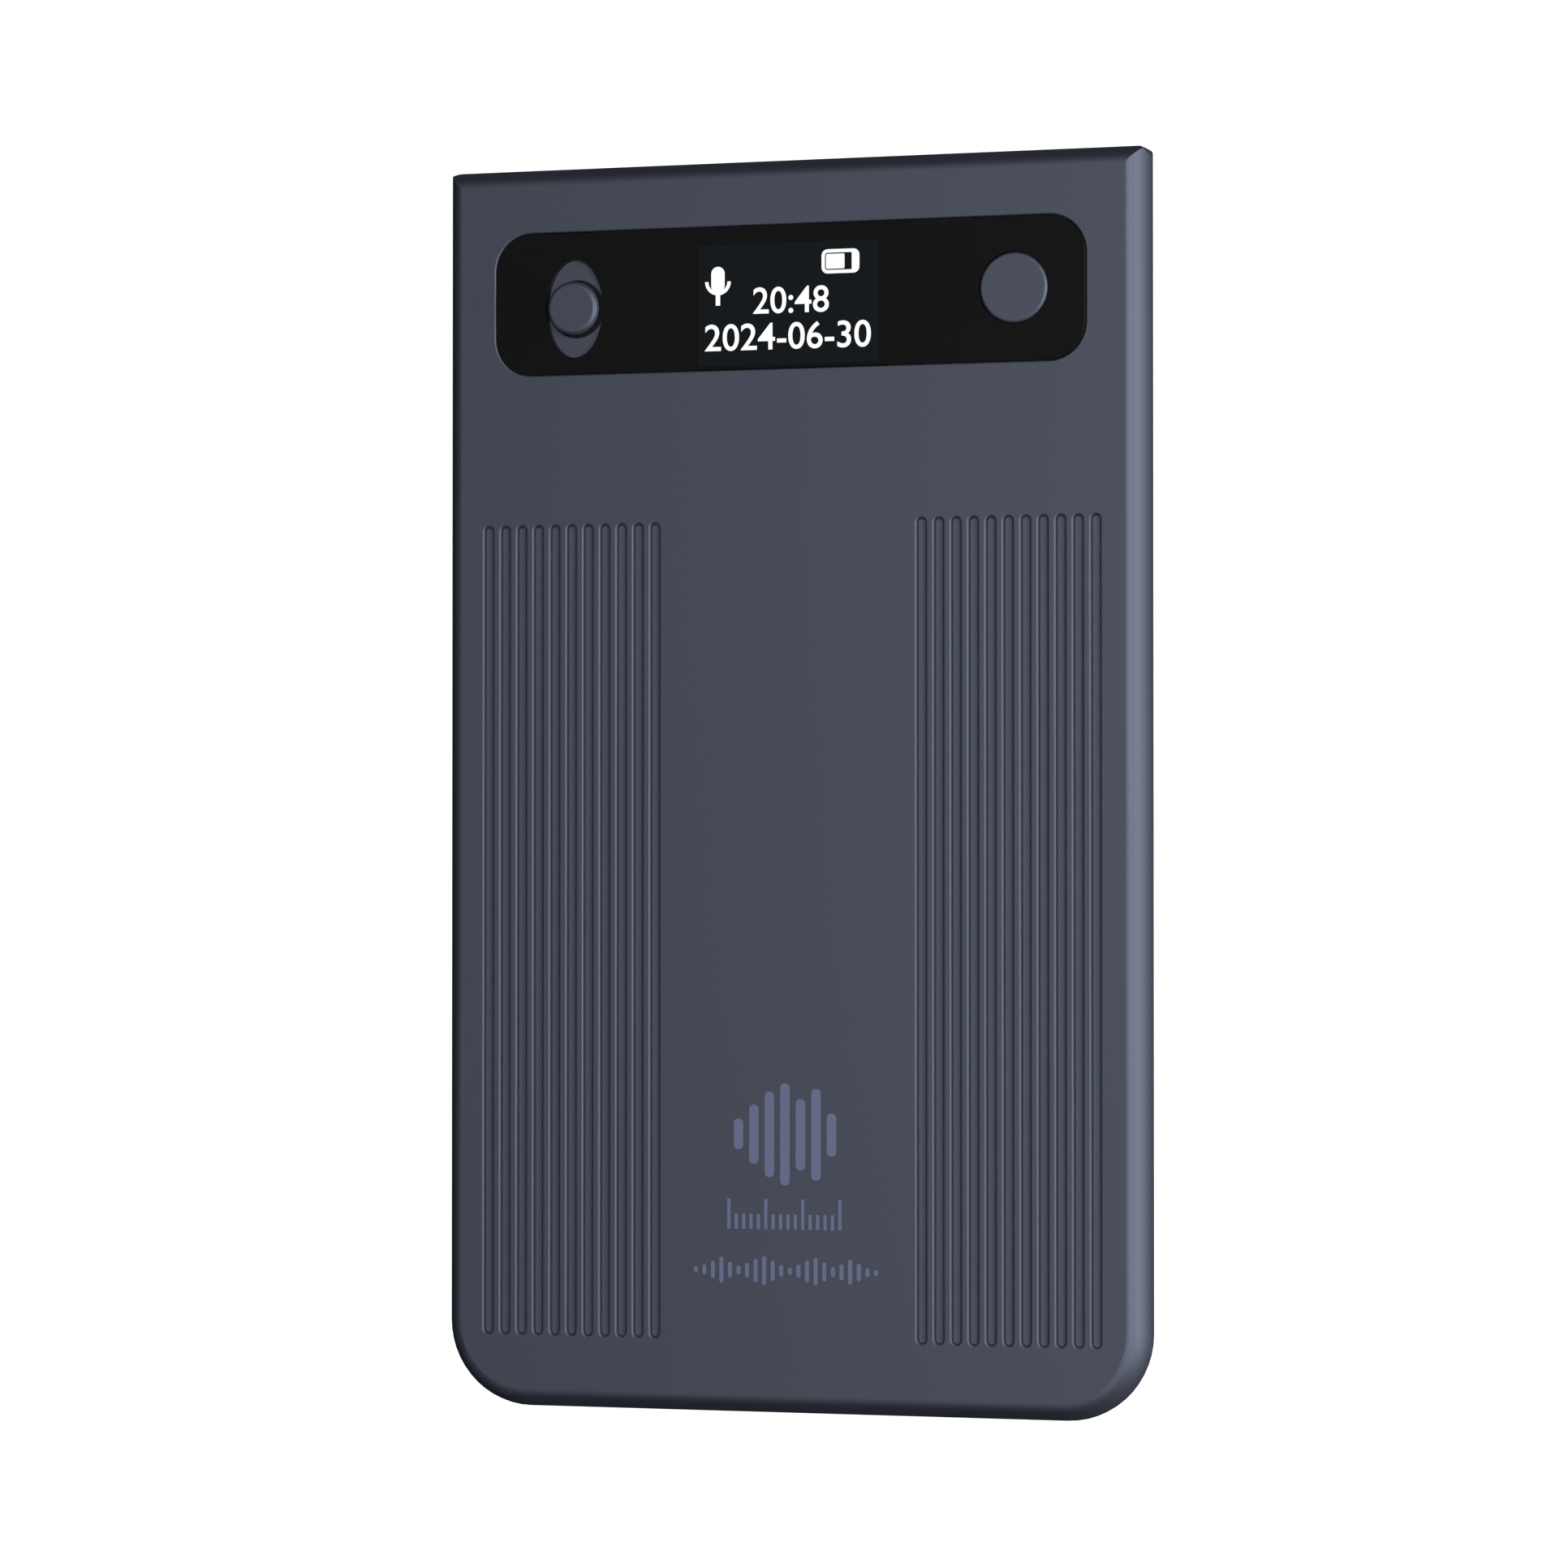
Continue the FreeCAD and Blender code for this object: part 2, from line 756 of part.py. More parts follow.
def mode_switch_body():
    """Metal-cased slide switch on the board, open along the lever's travel."""
    top = board_top + switch_body_height
    floor = board_top + switch_floor
    case = round_block(
        slot_x, slot_y, switch_body_width, switch_body_length, switch_body_corner, board_top, top
    )
    slit = block(
        slot_x, slot_y, lever_width + 4 * lever_gap,
        lever_length + 2 * switch_travel + 4 * lever_gap, floor, top + 1,
    )
    room = block(
        slot_x, slot_y, switch_body_width - 2 * switch_wall,
        lever_foot_length + 2 * switch_travel + 2 * plate_guide_gap,
        floor, floor + switch_room_height,
    )
    return case.cut([slit, room])


# ---------------------------------------------------------------- record button
def record_button():
    """Round cap with a flange under the shelf and a nub for the switch."""
    cap = rod(button_x, button_y, button_radius, button_rim_top, button_top)
    cap = cap.makeFillet(button_edge, top_edges(cap, button_top, lambda x, y: True))
    flange = rod(
        button_x, button_y, button_radius + button_rim, button_rim_underside, button_rim_top
    )
    nub = rod(button_x, button_y, button_nub_radius, plunger_top, button_rim_underside)
    return join([cap, flange, nub])


def record_switch_base():
    """Body of the press switch with a round well for its dome."""
    base = round_block(button_x, button_y, tact_width, tact_width, tact_corner, board_top, tact_top)
    return base.cut([
        rod(button_x, button_y, tact_well_radius, dome_base, tact_top - tact_roof),
        rod(button_x, button_y, plunger_radius + plunger_gap, dome_base, tact_top + 1),
    ])


def record_switch_dome():
    """Thin domed spring disc in the well."""
    sphere_radius = (dome_radius ** 2 + dome_height ** 2) / (2 * dome_height)
    centre = Vector(button_x, button_y, dome_top - sphere_radius)
    outer = Part.makeSphere(sphere_radius, centre)
    inner = Part.makeSphere(sphere_radius - dome_thickness, centre)
    keep = rod(button_x, button_y, dome_radius, dome_base, dome_top + 1)
    return outer.cut(inner).common(keep)


def record_switch_plunger():
    return rod(button_x, button_y, plunger_radius, dome_top, plunger_top)


# ---------------------------------------------------------------- boards and chips
def board_outline(y0, y1):
    """Board sheet that follows the inside of the shell between two Y places."""
    sheet = inset_outline(cavity_inset + board_gap, board_underside, board_top)
    sheet = sheet.common(box(-half_width, half_width, y0, y1, 0, body_thickness))
    clear = [rod(x, y, boss_radius + board_gap, 0, body_thickness) for x, y in boss_places]
    return sheet.cut(clear)


def main_board():
    sheet = board_outline(main_board_start, half_length)
    holes = [screw_hole(x, y, board_screw_radius, 0, body_thickness) for x, y in main_standoffs]
    return sheet.cut(holes)


def charge_board():
    sheet = board_outline(-half_length, charge_board_end)
    holes = [screw_hole(x, y, board_screw_radius, 0, body_thickness) for x, y in charge_standoffs]
    return sheet.cut(holes)


def chip(x, y, size):
    """Chip package on a board, its upper edges softened."""
    width, length, height = size
    package = block(x, y, width, length, board_top, board_top + height)
    upper = top_edges(package, board_top + height, lambda ex, ey: True)
    return package.makeChamfer(chip_edge, upper)


def shield_can():
    """Thin metal lid over the processor and the power chip."""
    top = board_top + can_height
    lid = round_block(can_x, can_y, can_width, can_length, can_corner, board_top, top)
    lid = lid.makeFillet(can_edge, top_edges(lid, top, lambda x, y: True))
    inside = round_block(
        can_x, can_y, can_width - 2 * can_wall, can_length - 2 * can_wall,
        can_corner - can_wall, board_top, top - can_wall,
    )
    vents = []
    for column in range(can_vent_columns):
        for row in range(2):
            x = can_x + (column - (can_vent_columns - 1) / 2) * can_vent_pitch_x
            y = can_y + (row - 0.5) * can_vent_pitch_y
            vents.append(rod(x, y, can_vent_radius, top - 2 * can_wall, top + 1))
    return lid.cut([inside] + vents)


def processor():
    return chip(can_x + processor_shift, can_y, processor_size)


def power_chip():
    return chip(can_x + power_chip_shift, can_y, power_chip_size)


def flash_memory():
    return chip(slot_x + flash_memory_shift, main_board_start + flash_memory_rise, flash_memory_size)


def audio_chip():
    return chip(0, cavity_half_length - audio_chip_drop, audio_chip_size)


def crystal():
    return chip(crystal_x, main_board_start + crystal_rise, crystal_size)


def charge_chip():
    return chip(charge_chip_x, charge_board_end - charge_chip_drop, charge_chip_size)


def small_parts(places):
    """Capacitors and resistors as little blocks."""
    width, length, height = small_part_size
    return [block(x, y, width, length, board_top, board_top + height) for x, y in places]


def main_board_parts():
    return small_parts([
        (x, first + index * main_part_pitch)
        for x, first, count in main_part_columns
        for index in range(count)
    ])


def charge_board_parts():
    return small_parts([(x, charge_board_end + y) for x, y in charge_part_places])


# ---------------------------------------------------------------- microphones
def microphones():
    middle = mic_end - mic_length / 2
    return [
        block(x, middle, mic_width, mic_length, board_top, board_top + mic_height)
        for x in mic_places
    ]


def microphone_boots():
    """Rubber caps that lead each port in the end wall to its microphone."""
    boots = []
    for x in mic_places:
        start = mic_end - mic_length - boot_wall
        cap = box(
            x - mic_width / 2 - boot_wall, x + mic_width / 2 + boot_wall,
            start, cavity_half_length, board_top, ledge_underside,
        )
        seat = block(
            x, mic_end - mic_length / 2, mic_width, mic_length, board_top, board_top + mic_height
        )
        half = mic_port_radius + boot_chamber / 2
        turn = mic_end + 2 * half
        roof = board_top + mic_height + boot_chamber
        chamber = box(
            x - half, x + half, mic_end - mic_length + boot_wall, turn, board_top + mic_height, roof
        )
        shaft = box(x - half, x + half, mic_end, turn, mid_height - mic_port_radius / 2, roof)
        port = Part.makeCylinder(
            mic_port_radius, boot_reach, Vector(x, mic_end + half, mid_height), Vector(0, 1, 0)
        )
        boots.append(cap.cut([seat, chamber, shaft, port]))
    return boots


# ---------------------------------------------------------------- battery
def battery():
    """Soft lithium pouch with rounded edges."""
    pouch = block(
        0, battery_mid_y, battery_width, battery_long,
        battery_underside, battery_underside + battery_thickness,
    )
    return pouch.makeFillet(battery_edge, pouch.Edges)


def battery_tape():
    """Adhesive that holds the pouch up against the front wall."""
    return round_block(
        0, battery_mid_y, battery_width - 2 * battery_tape_inset_x,
        battery_long - 2 * battery_tape_inset_y, battery_tape_corner,
        ceiling - battery_tape_thickness, ceiling,
    )


def battery_board():
    """Protection board across the end of the pouch."""
    return box(
        -battery_board_width / 2, battery_board_width / 2, battery_end,
        battery_end + battery_board_length, battery_board_top - board_thickness, battery_board_top,
    )


def battery_lead(side):
    """Lead from the protection board: straight, one round turn, straight into the plug."""
    start_y = battery_end + (battery_board_length + side * lead_start_spread) / 2
    turn_x = plug_x + side * lead_spread / 2
    start = Vector(lead_start_x, start_y, lead_height)
    corner = Vector(turn_x, start_y, lead_height)
    end = Vector(turn_x, plug_y, lead_height)
    shorter = min((corner - start).Length, (end - corner).Length)
    radius = lead_bend_share * shorter
    before = corner + Vector(radius, 0, 0)
    after = corner + Vector(0, radius, 0)
    centre = corner + Vector(radius, radius, 0)
    middle = centre + Vector(-radius * sin(radians(45)), -radius * cos(radians(45)), 0)
    path = Part.Wire([
        Part.LineSegment(start, before).toShape(),
        Part.Arc(before, middle, after).toShape(),
        Part.LineSegment(after, end).toShape(),
    ])
    section = Part.Wire([Part.Circle(start, Vector(-1, 0, 0), lead_radius).toShape()])
    tube = path.makePipeShell([section], True, True)
    expected = pi * lead_radius ** 2 * path.Length
    print("lead radius", round(radius, 2), "volume", round(tube.Volume / expected, 4))
    return tube


def battery_connector():
    low = lead_height - plug_height / 2
    top = low + plug_height
    body = block(plug_x, plug_y + plug_length / 2, plug_width, plug_length, board_top, top)
    return body.makeChamfer(plug_chamfer, top_edges(body, top, lambda x, y: True))


# ---------------------------------------------------------------- charging contacts
def holder_outline(grow, z0, z1):
    """Round-ended prism on the contact holder's outline."""
    length = holder_length + 2 * grow
    return round_block(
        holder_x, holder_y, holder_width + 2 * grow, length, length / 2 - 0.01, z0, z1
    )


def contact_places():
    """Centres of the charging contacts, in a row along X."""
    for index in range(contact_count):
        yield holder_x + (index - (contact_count - 1) / 2) * contact_pitch


def contact_holder():
    """Black plastic block in the back cover with bores for contacts and magnets."""
    nose = holder_outline(0, holder_face, cover_thickness)
    flange = holder_outline(holder_flange, cover_thickness, board_underside)
    holes = []
    for x in contact_places():
        holes.append(rod(x, holder_y, contact_radius + contact_gap, 0, board_underside + 1))
    for x in magnet_places:
        low = holder_face + magnet_cover
        holes.append(rod(x, holder_y, magnet_radius + contact_gap, low, board_underside + 1))
    return join([nose, flange]).cut(holes)


def charge_contacts():
    """Round gold-plated studs that a charging lead touches."""
    studs = []
    for x in contact_places():
        stud = rod(x, holder_y, contact_radius, holder_face, board_underside)
        lower = [e for e in stud.Edges if e.BoundBox.ZMax < holder_face + 1e-6]
        studs.append(stud.makeFillet(edge_softness, lower))
    return studs


def charge_magnets():
    low = holder_face + magnet_cover
    return [rod(x, holder_y, magnet_radius, low, board_underside) for x in magnet_places]


# ---------------------------------------------------------------- link ribbon
def link_ribbon():
    """Ribbon beside the battery that joins the two boards."""
    return box(
        link_outer_x - link_width, link_outer_x, link_end_charge, link_end_main,
        board_top, board_top + ribbon_thickness,
    )


def link_connectors():
    x = link_outer_x - link_width / 2
    ends = (link_end_main + link_plug_length / 2, link_end_charge - link_plug_length / 2)
    return [
        block(
            x, y, link_width + 2 * link_plug_overhang, link_plug_length,
            board_top, board_top + link_plug_height,
        )
        for y in ends
    ]


# ---------------------------------------------------------------- write the pieces
NODES = {
    "front_housing": front_housing,
    "back_cover": back_cover,
    "back_cover_screws": back_cover_screws,
    "board_screws": board_screws,
    "lens_panel": lens_panel,
    "lens_tape": lens_tape,
    "display_window": display_window,
    "display_module": display_module,
    "display_foam": display_foam,
    "display_ribbon": display_ribbon,
    "display_connector": display_connector,
    "mode_switch_knob": mode_switch_knob,
    "mode_switch_plate": mode_switch_plate,
    "mode_switch_carrier": mode_switch_carrier,
    "mode_switch_lever": mode_switch_lever,
    "mode_switch_body": mode_switch_body,
    "record_button": record_button,
    "record_switch_base": record_switch_base,
    "record_switch_dome": record_switch_dome,
    "record_switch_plunger": record_switch_plunger,
    "main_board": main_board,
    "shield_can": shield_can,
    "processor": processor,
    "power_chip": power_chip,
    "flash_memory": flash_memory,
    "audio_chip": audio_chip,
    "crystal": crystal,
    "main_board_parts": main_board_parts,
    "microphones": microphones,
    "microphone_boots": microphone_boots,
    "battery": battery,
    "battery_tape": battery_tape,
    "battery_board": battery_board,
    "battery_lead_positive": lambda: battery_lead(-1),
    "battery_lead_negative": lambda: battery_lead(1),
    "battery_connector": battery_connector,
    "charge_board": charge_board,
    "charge_chip": charge_chip,
    "charge_board_parts": charge_board_parts,
    "contact_holder": contact_holder,
    "charge_contacts": charge_contacts,
    "charge_magnets": charge_magnets,
    "link_ribbon": link_ribbon,
    "link_connectors": link_connectors,
}


def solids_of(made):
    """Separate solids of what a piece's function returned."""
    shapes = made if isinstance(made, list) else [made]
    found = []
    for shape in shapes:
        found.extend(shape.Solids)
    return found


def main():
    os.makedirs("parts", exist_ok=True)
    for name, make in NODES.items():
        solids = solids_of(make())
        shape = solids[0] if len(solids) == 1 else Part.makeCompound(solids)
        if not shape.isValid():
            raise ValueError(name + " is not a valid shape")
        shape.exportStep(os.path.join("parts", name + ".step"))
        print(name, len(solids), round(shape.Volume, 3))


main()
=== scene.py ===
"""Looks of a card-thin handheld voice recorder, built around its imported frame.

The recorder lies on its back: X across, Y along the length, Z up out of the front face.
"""

import math

import bmesh
import bpy
from mathutils import Matrix, Vector


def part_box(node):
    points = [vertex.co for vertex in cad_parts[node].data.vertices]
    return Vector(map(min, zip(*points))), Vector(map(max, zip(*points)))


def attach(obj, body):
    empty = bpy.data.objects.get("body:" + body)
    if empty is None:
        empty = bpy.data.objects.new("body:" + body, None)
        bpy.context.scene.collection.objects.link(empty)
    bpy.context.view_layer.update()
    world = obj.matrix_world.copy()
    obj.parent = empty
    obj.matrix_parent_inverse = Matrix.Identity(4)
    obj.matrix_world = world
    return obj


bl_info = {
    "name": "Handheld Voice Recorder",
    "version": (1, 0, 0),
    "blender": (4, 5, 0),
    "location": "View3D > Sidebar > Recorder",
    "description": "Finishes, display read-out, printed marks and studio of a card voice recorder",
    "category": "Object",
}

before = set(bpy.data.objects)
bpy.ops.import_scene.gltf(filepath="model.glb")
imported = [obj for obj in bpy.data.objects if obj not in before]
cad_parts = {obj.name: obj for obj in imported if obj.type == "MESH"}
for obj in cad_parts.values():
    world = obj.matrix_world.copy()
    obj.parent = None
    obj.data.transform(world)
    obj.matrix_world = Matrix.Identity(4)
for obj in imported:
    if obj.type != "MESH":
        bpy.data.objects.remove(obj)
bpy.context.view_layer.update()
MM = 0.001


def node_top(name):
    """Height of a CAD node's highest point, in metres."""
    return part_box(name)[1].z


def node_middle(name):
    """Centre of a CAD node's box."""
    low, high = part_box(name)
    return (low + high) / 2


FACE_TOP = node_top("front_housing")
WINDOW_TOP = node_top("display_window")
WINDOW_MIDDLE = node_middle("display_window")


# ------------------------------------------------------------------ settings
class RecorderReadout(bpy.types.PropertyGroup):
    """What the display shows and where, measured from the middle of its window."""

    clock: bpy.props.StringProperty(
        name="Clock", description="Digits of the upper line", default="20:48"
    )
    calendar: bpy.props.StringProperty(
        name="Calendar", description="Digits of the lower line", default="2024-06-30"
    )
    clock_width: bpy.props.FloatProperty(
        name="Clock width", description="Width of the upper line", default=5.85 * MM,
        unit="LENGTH", precision=5,
    )
    clock_height: bpy.props.FloatProperty(
        name="Clock height", description="Height of the upper digits", default=1.95 * MM,
        unit="LENGTH", precision=5,
    )
    clock_place: bpy.props.FloatVectorProperty(
        name="Clock place", description="Centre of the upper line in the window",
        default=(0.25 * MM, 0.26 * MM), size=2, subtype="XYZ_LENGTH", unit="LENGTH", precision=5,
    )
    calendar_width: bpy.props.FloatProperty(
        name="Calendar width", description="Width of the lower line", default=12.83 * MM,
        unit="LENGTH", precision=5,
    )
    calendar_height: bpy.props.FloatProperty(
        name="Calendar height", description="Height of the lower digits", default=1.98 * MM,
        unit="LENGTH", precision=5,
    )
    calendar_place: bpy.props.FloatVectorProperty(
        name="Calendar place", description="Centre of the lower line in the window",
        default=(-0.01 * MM, -2.36 * MM), size=2, subtype="XYZ_LENGTH", unit="LENGTH", precision=5,
    )
    stroke_gain: bpy.props.FloatProperty(
        name="Stroke gain", description="How much the digits' strokes are thickened",
        default=0.008, min=0.0, max=0.1,
    )
    film: bpy.props.FloatProperty(
        name="Film", description="Thickness of lit and printed marks", default=0.012 * MM,
        unit="LENGTH", precision=6,
    )


class RecorderPrint(bpy.types.PropertyGroup):
    """Generic sound-level mark printed on the lower front."""

    block_width: bpy.props.FloatProperty(
        name="Bars' width", description="Width of the row of bars", default=7.9 * MM,
        unit="LENGTH", precision=5,
    )
    block_height: bpy.props.FloatProperty(
        name="Bars' height", description="Height of the tallest bar", default=7.4 * MM,
        unit="LENGTH", precision=5,
    )
    block_middle: bpy.props.FloatVectorProperty(
        name="Bars' place", description="Centre of the row of bars on the front face",
        default=(-0.15 * MM, -25.4 * MM), size=2, subtype="XYZ_LENGTH", unit="LENGTH", precision=5,
    )
    scale_width: bpy.props.FloatProperty(
        name="Scale width", description="Width of the row of ticks", default=8.8 * MM,
        unit="LENGTH", precision=5,
    )
    scale_height: bpy.props.FloatProperty(
        name="Scale height", description="Height of the long ticks", default=2.2 * MM,
        unit="LENGTH", precision=5,
    )
    scale_middle: bpy.props.FloatVectorProperty(
        name="Scale place", description="Centre of the row of ticks on the front face",
        default=(-0.2 * MM, -31.2 * MM), size=2, subtype="XYZ_LENGTH", unit="LENGTH", precision=5,
    )
    wave_width: bpy.props.FloatProperty(
        name="Wave width", description="Width of the wave row", default=14.2 * MM,
        unit="LENGTH", precision=5,
    )
    wave_height: bpy.props.FloatProperty(
        name="Wave height", description="Height of the tallest stroke", default=2.1 * MM,
        unit="LENGTH", precision=5,
    )
    wave_middle: bpy.props.FloatVectorProperty(
        name="Wave place", description="Centre of the wave row on the front face",
        default=(-0.1 * MM, -35.3 * MM), size=2, subtype="XYZ_LENGTH", unit="LENGTH", precision=5,
    )


class RecorderColours(bpy.types.PropertyGroup):
    """Colours a user would change."""

    coating: bpy.props.FloatVectorProperty(
        name="Coating", description="Dark blue-grey coating of the shell", subtype="COLOR",
        size=4, default=(0.228, 0.254, 0.334, 1.0), min=0.0, max=1.0,
    )
    panel: bpy.props.FloatVectorProperty(
        name="Panel", description="Black display panel", subtype="COLOR",
        size=4, default=(0.0155, 0.0155, 0.0160, 1.0), min=0.0, max=1.0,
    )
    window: bpy.props.FloatVectorProperty(
        name="Window", description="Display window, slightly blue", subtype="COLOR",
        size=4, default=(0.0190, 0.0240, 0.0280, 1.0), min=0.0, max=1.0,
    )
    read_out: bpy.props.FloatVectorProperty(
        name="Read-out", description="Lit digits and symbols", subtype="COLOR",
        size=4, default=(1.0, 1.0, 1.0, 1.0), min=0.0, max=1.0,
    )
    ink: bpy.props.FloatVectorProperty(
        name="Ink", description="Lilac print on the front", subtype="COLOR",
        size=4, default=(0.275, 0.31, 0.53, 1.0), min=0.0, max=1.0,
    )


class RecorderStudio(bpy.types.PropertyGroup):
    """Camera, lights and floor."""

    distance: bpy.props.FloatProperty(
        name="Camera distance", description="From the middle of the front face",
        default=452.95 * MM, unit="LENGTH", precision=4,
    )
    swing: bpy.props.FloatProperty(
        name="Camera swing", description="Towards the recorder's right side",
        default=0.342515, subtype="ANGLE", unit="ROTATION",
    )
    dip: bpy.props.FloatProperty(
        name="Camera dip", description="Towards the recorder's display end",
        default=-0.01792, subtype="ANGLE", unit="ROTATION",
    )
    lens: bpy.props.FloatProperty(
        name="Lens", description="Focal length in millimetres", default=143.02, min=10.0
    )
    shift: bpy.props.FloatVectorProperty(
        name="Shift", description="Framing shift of the camera", size=2,
        default=(-0.00178, 0.0006),
    )
    key_power: bpy.props.FloatProperty(
        name="Key power", description="Large soft light at the upper right", default=2.78,
        min=0.0, unit="POWER",
    )
    side_power: bpy.props.FloatProperty(
        name="Side power", description="Low light that draws the right edge", default=2.6,
        min=0.0, unit="POWER",
    )
    fill_power: bpy.props.FloatProperty(
        name="Fill power", description="Weak light from above", default=0.05,
        min=0.0, unit="POWER",
    )


# ------------------------------------------------------------------ node groups
def new_group(name, inputs, outputs):
    """Empty shader node group with named float, colour and vector sockets."""
    group = bpy.data.node_groups.new(name, "ShaderNodeTree")
    for label, kind, default in inputs:
        socket = group.interface.new_socket(name=label, in_out="INPUT", socket_type=kind)
        if default is not None:
            socket.default_value = default
    for label, kind in outputs:
        group.interface.new_socket(name=label, in_out="OUTPUT", socket_type=kind)
    return group, group.nodes.new("NodeGroupInput"), group.nodes.new("NodeGroupOutput")


def add_node(tree, kind, settings=None, values=None):
    """Node with its properties and unlinked inputs set."""
    node = tree.nodes.new(kind)
    for key, value in (settings or {}).items():
        setattr(node, key, value)
    for key, value in (values or {}).items():
        node.inputs[key].default_value = value
    return node


def grain_group():
    """Fine grain of a coating or a moulding: a colour, a roughness and a height."""
    group, given, result = new_group(
        "fine_grain",
        [
            ("Colour", "NodeSocketColor", (0.5, 0.5, 0.5, 1.0)),
            ("Mottle", "NodeSocketFloat", 0.05),
            ("Grain Scale", "NodeSocketFloat", 6000.0),
            ("Cloud Scale", "NodeSocketFloat", 60.0),
            ("Roughness", "NodeSocketFloat", 0.5),
            ("Roughness Spread", "NodeSocketFloat", 0.05),
        ],
        [
            ("Colour", "NodeSocketColor"),
            ("Roughness", "NodeSocketFloat"),
            ("Height", "NodeSocketFloat"),
        ],
    )
    place = add_node(group, "ShaderNodeTexCoord")
    grain = add_node(group, "ShaderNodeTexNoise", values={"Detail": 3.0, "Roughness": 0.6})
    cloud = add_node(group, "ShaderNodeTexNoise", values={"Detail": 2.0, "Roughness": 0.5})
    group.links.new(place.outputs["Object"], grain.inputs["Vector"])
    group.links.new(place.outputs["Object"], cloud.inputs["Vector"])
    group.links.new(given.outputs["Grain Scale"], grain.inputs["Scale"])
    group.links.new(given.outputs["Cloud Scale"], cloud.inputs["Scale"])

    both = add_node(group, "ShaderNodeMath", {"operation": "ADD"})
    group.links.new(grain.outputs["Fac"], both.inputs[0])
    group.links.new(cloud.outputs["Fac"], both.inputs[1])
    centred = add_node(group, "ShaderNodeMath", {"operation": "SUBTRACT"})
    centred.inputs[1].default_value = 1.0
    group.links.new(both.outputs[0], centred.inputs[0])
    swing = add_node(group, "ShaderNodeMath", {"operation": "MULTIPLY_ADD"})
    swing.inputs[2].default_value = 1.0
    group.links.new(centred.outputs[0], swing.inputs[0])
    group.links.new(given.outputs["Mottle"], swing.inputs[1])
    tint = add_node(group, "ShaderNodeVectorMath", {"operation": "SCALE"})
    group.links.new(given.outputs["Colour"], tint.inputs[0])
    group.links.new(swing.outputs[0], tint.inputs["Scale"])
    group.links.new(tint.outputs["Vector"], result.inputs["Colour"])

    rough = add_node(group, "ShaderNodeMath", {"operation": "MULTIPLY_ADD", "use_clamp": True})
    group.links.new(centred.outputs[0], rough.inputs[0])
    group.links.new(given.outputs["Roughness Spread"], rough.inputs[1])
    group.links.new(given.outputs["Roughness"], rough.inputs[2])
    group.links.new(rough.outputs[0], result.inputs["Roughness"])
    group.links.new(grain.outputs["Fac"], result.inputs["Height"])
    return group


def principled(name, plain=None):
    """New material with its Principled shader; plain holds values set on the shader itself."""
    material = bpy.data.materials.new(name)
    material.use_nodes = True
    shader = material.node_tree.nodes["Principled BSDF"]
    for key, value in (plain or {}).items():
        shader.inputs[key].default_value = value
    return material, material.node_tree, shader


def grained(name, group, colour, roughness, mottle=0.06, spread=0.05, grain=6000.0,
            cloud=60.0, bump=0.00001, strength=0.4, plain=None):
    """Material whose colour, roughness and relief come from the fine grain group."""
    material, tree, shader = principled(name, plain)
    made = add_node(tree, "ShaderNodeGroup", {"node_tree": group}, {
        "Colour": tuple(colour), "Mottle": mottle, "Grain Scale": grain,
        "Cloud Scale": cloud, "Roughness": roughness, "Roughness Spread": spread,
    })
    tree.links.new(made.outputs["Colour"], shader.inputs["Base Color"])
    tree.links.new(made.outputs["Roughness"], shader.inputs["Roughness"])
    relief = add_node(tree, "ShaderNodeBump", values={"Strength": strength, "Distance": bump})
    tree.links.new(made.outputs["Height"], relief.inputs["Height"])
    tree.links.new(relief.outputs["Normal"], shader.inputs["Normal"])
    return material


def finish(material, *names):
    """Put one material on CAD nodes."""
    for name in names:
        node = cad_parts[name]
        for slot in node.material_slots:
            slot.material = material


def shared_grain():
    """The fine grain group, built once."""
    return bpy.data.node_groups.get("fine_grain") or grain_group()


# ------------------------------------------------------------------ mesh helpers
def keep_mesh(name, mesh, material, body="root"):
    """Object for a finished mesh that already lies in place; it rides on a body."""
    piece = bpy.data.objects.new(name, mesh)
    bpy.context.scene.collection.objects.link(piece)
    mesh.materials.clear()
    mesh.materials.append(material)
    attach(piece, body)
    return piece


def bm_to_mesh(shape, name):
    """Mesh from a bmesh with its normals turned outwards."""
    bmesh.ops.recalc_face_normals(shape, faces=shape.faces)
    mesh = bpy.data.meshes.new(name)
    shape.to_mesh(mesh)
    shape.free()
    return mesh


def add_plate(shape, x, y, width, height, corner, z0, z1, segments=6):
    """Upright rounded plate between two heights, added to a bmesh."""
    verts = bmesh.ops.create_cube(shape, size=1.0)["verts"]
    bmesh.ops.scale(shape, vec=(width, height, z1 - z0), verts=verts)
    bmesh.ops.translate(shape, vec=(x, y, (z0 + z1) / 2), verts=verts)
    if corner > 0:
        upright = [
            edge for edge in set(e for v in verts for e in v.link_edges)
            if abs(edge.verts[0].co.z - edge.verts[1].co.z) > (z1 - z0) / 2
        ]
        bmesh.ops.bevel(
            shape, geom=upright, offset=corner, offset_type="OFFSET", affect="EDGES",
            segments=segments, profile=0.5, material=-1, clamp_overlap=True,
        )


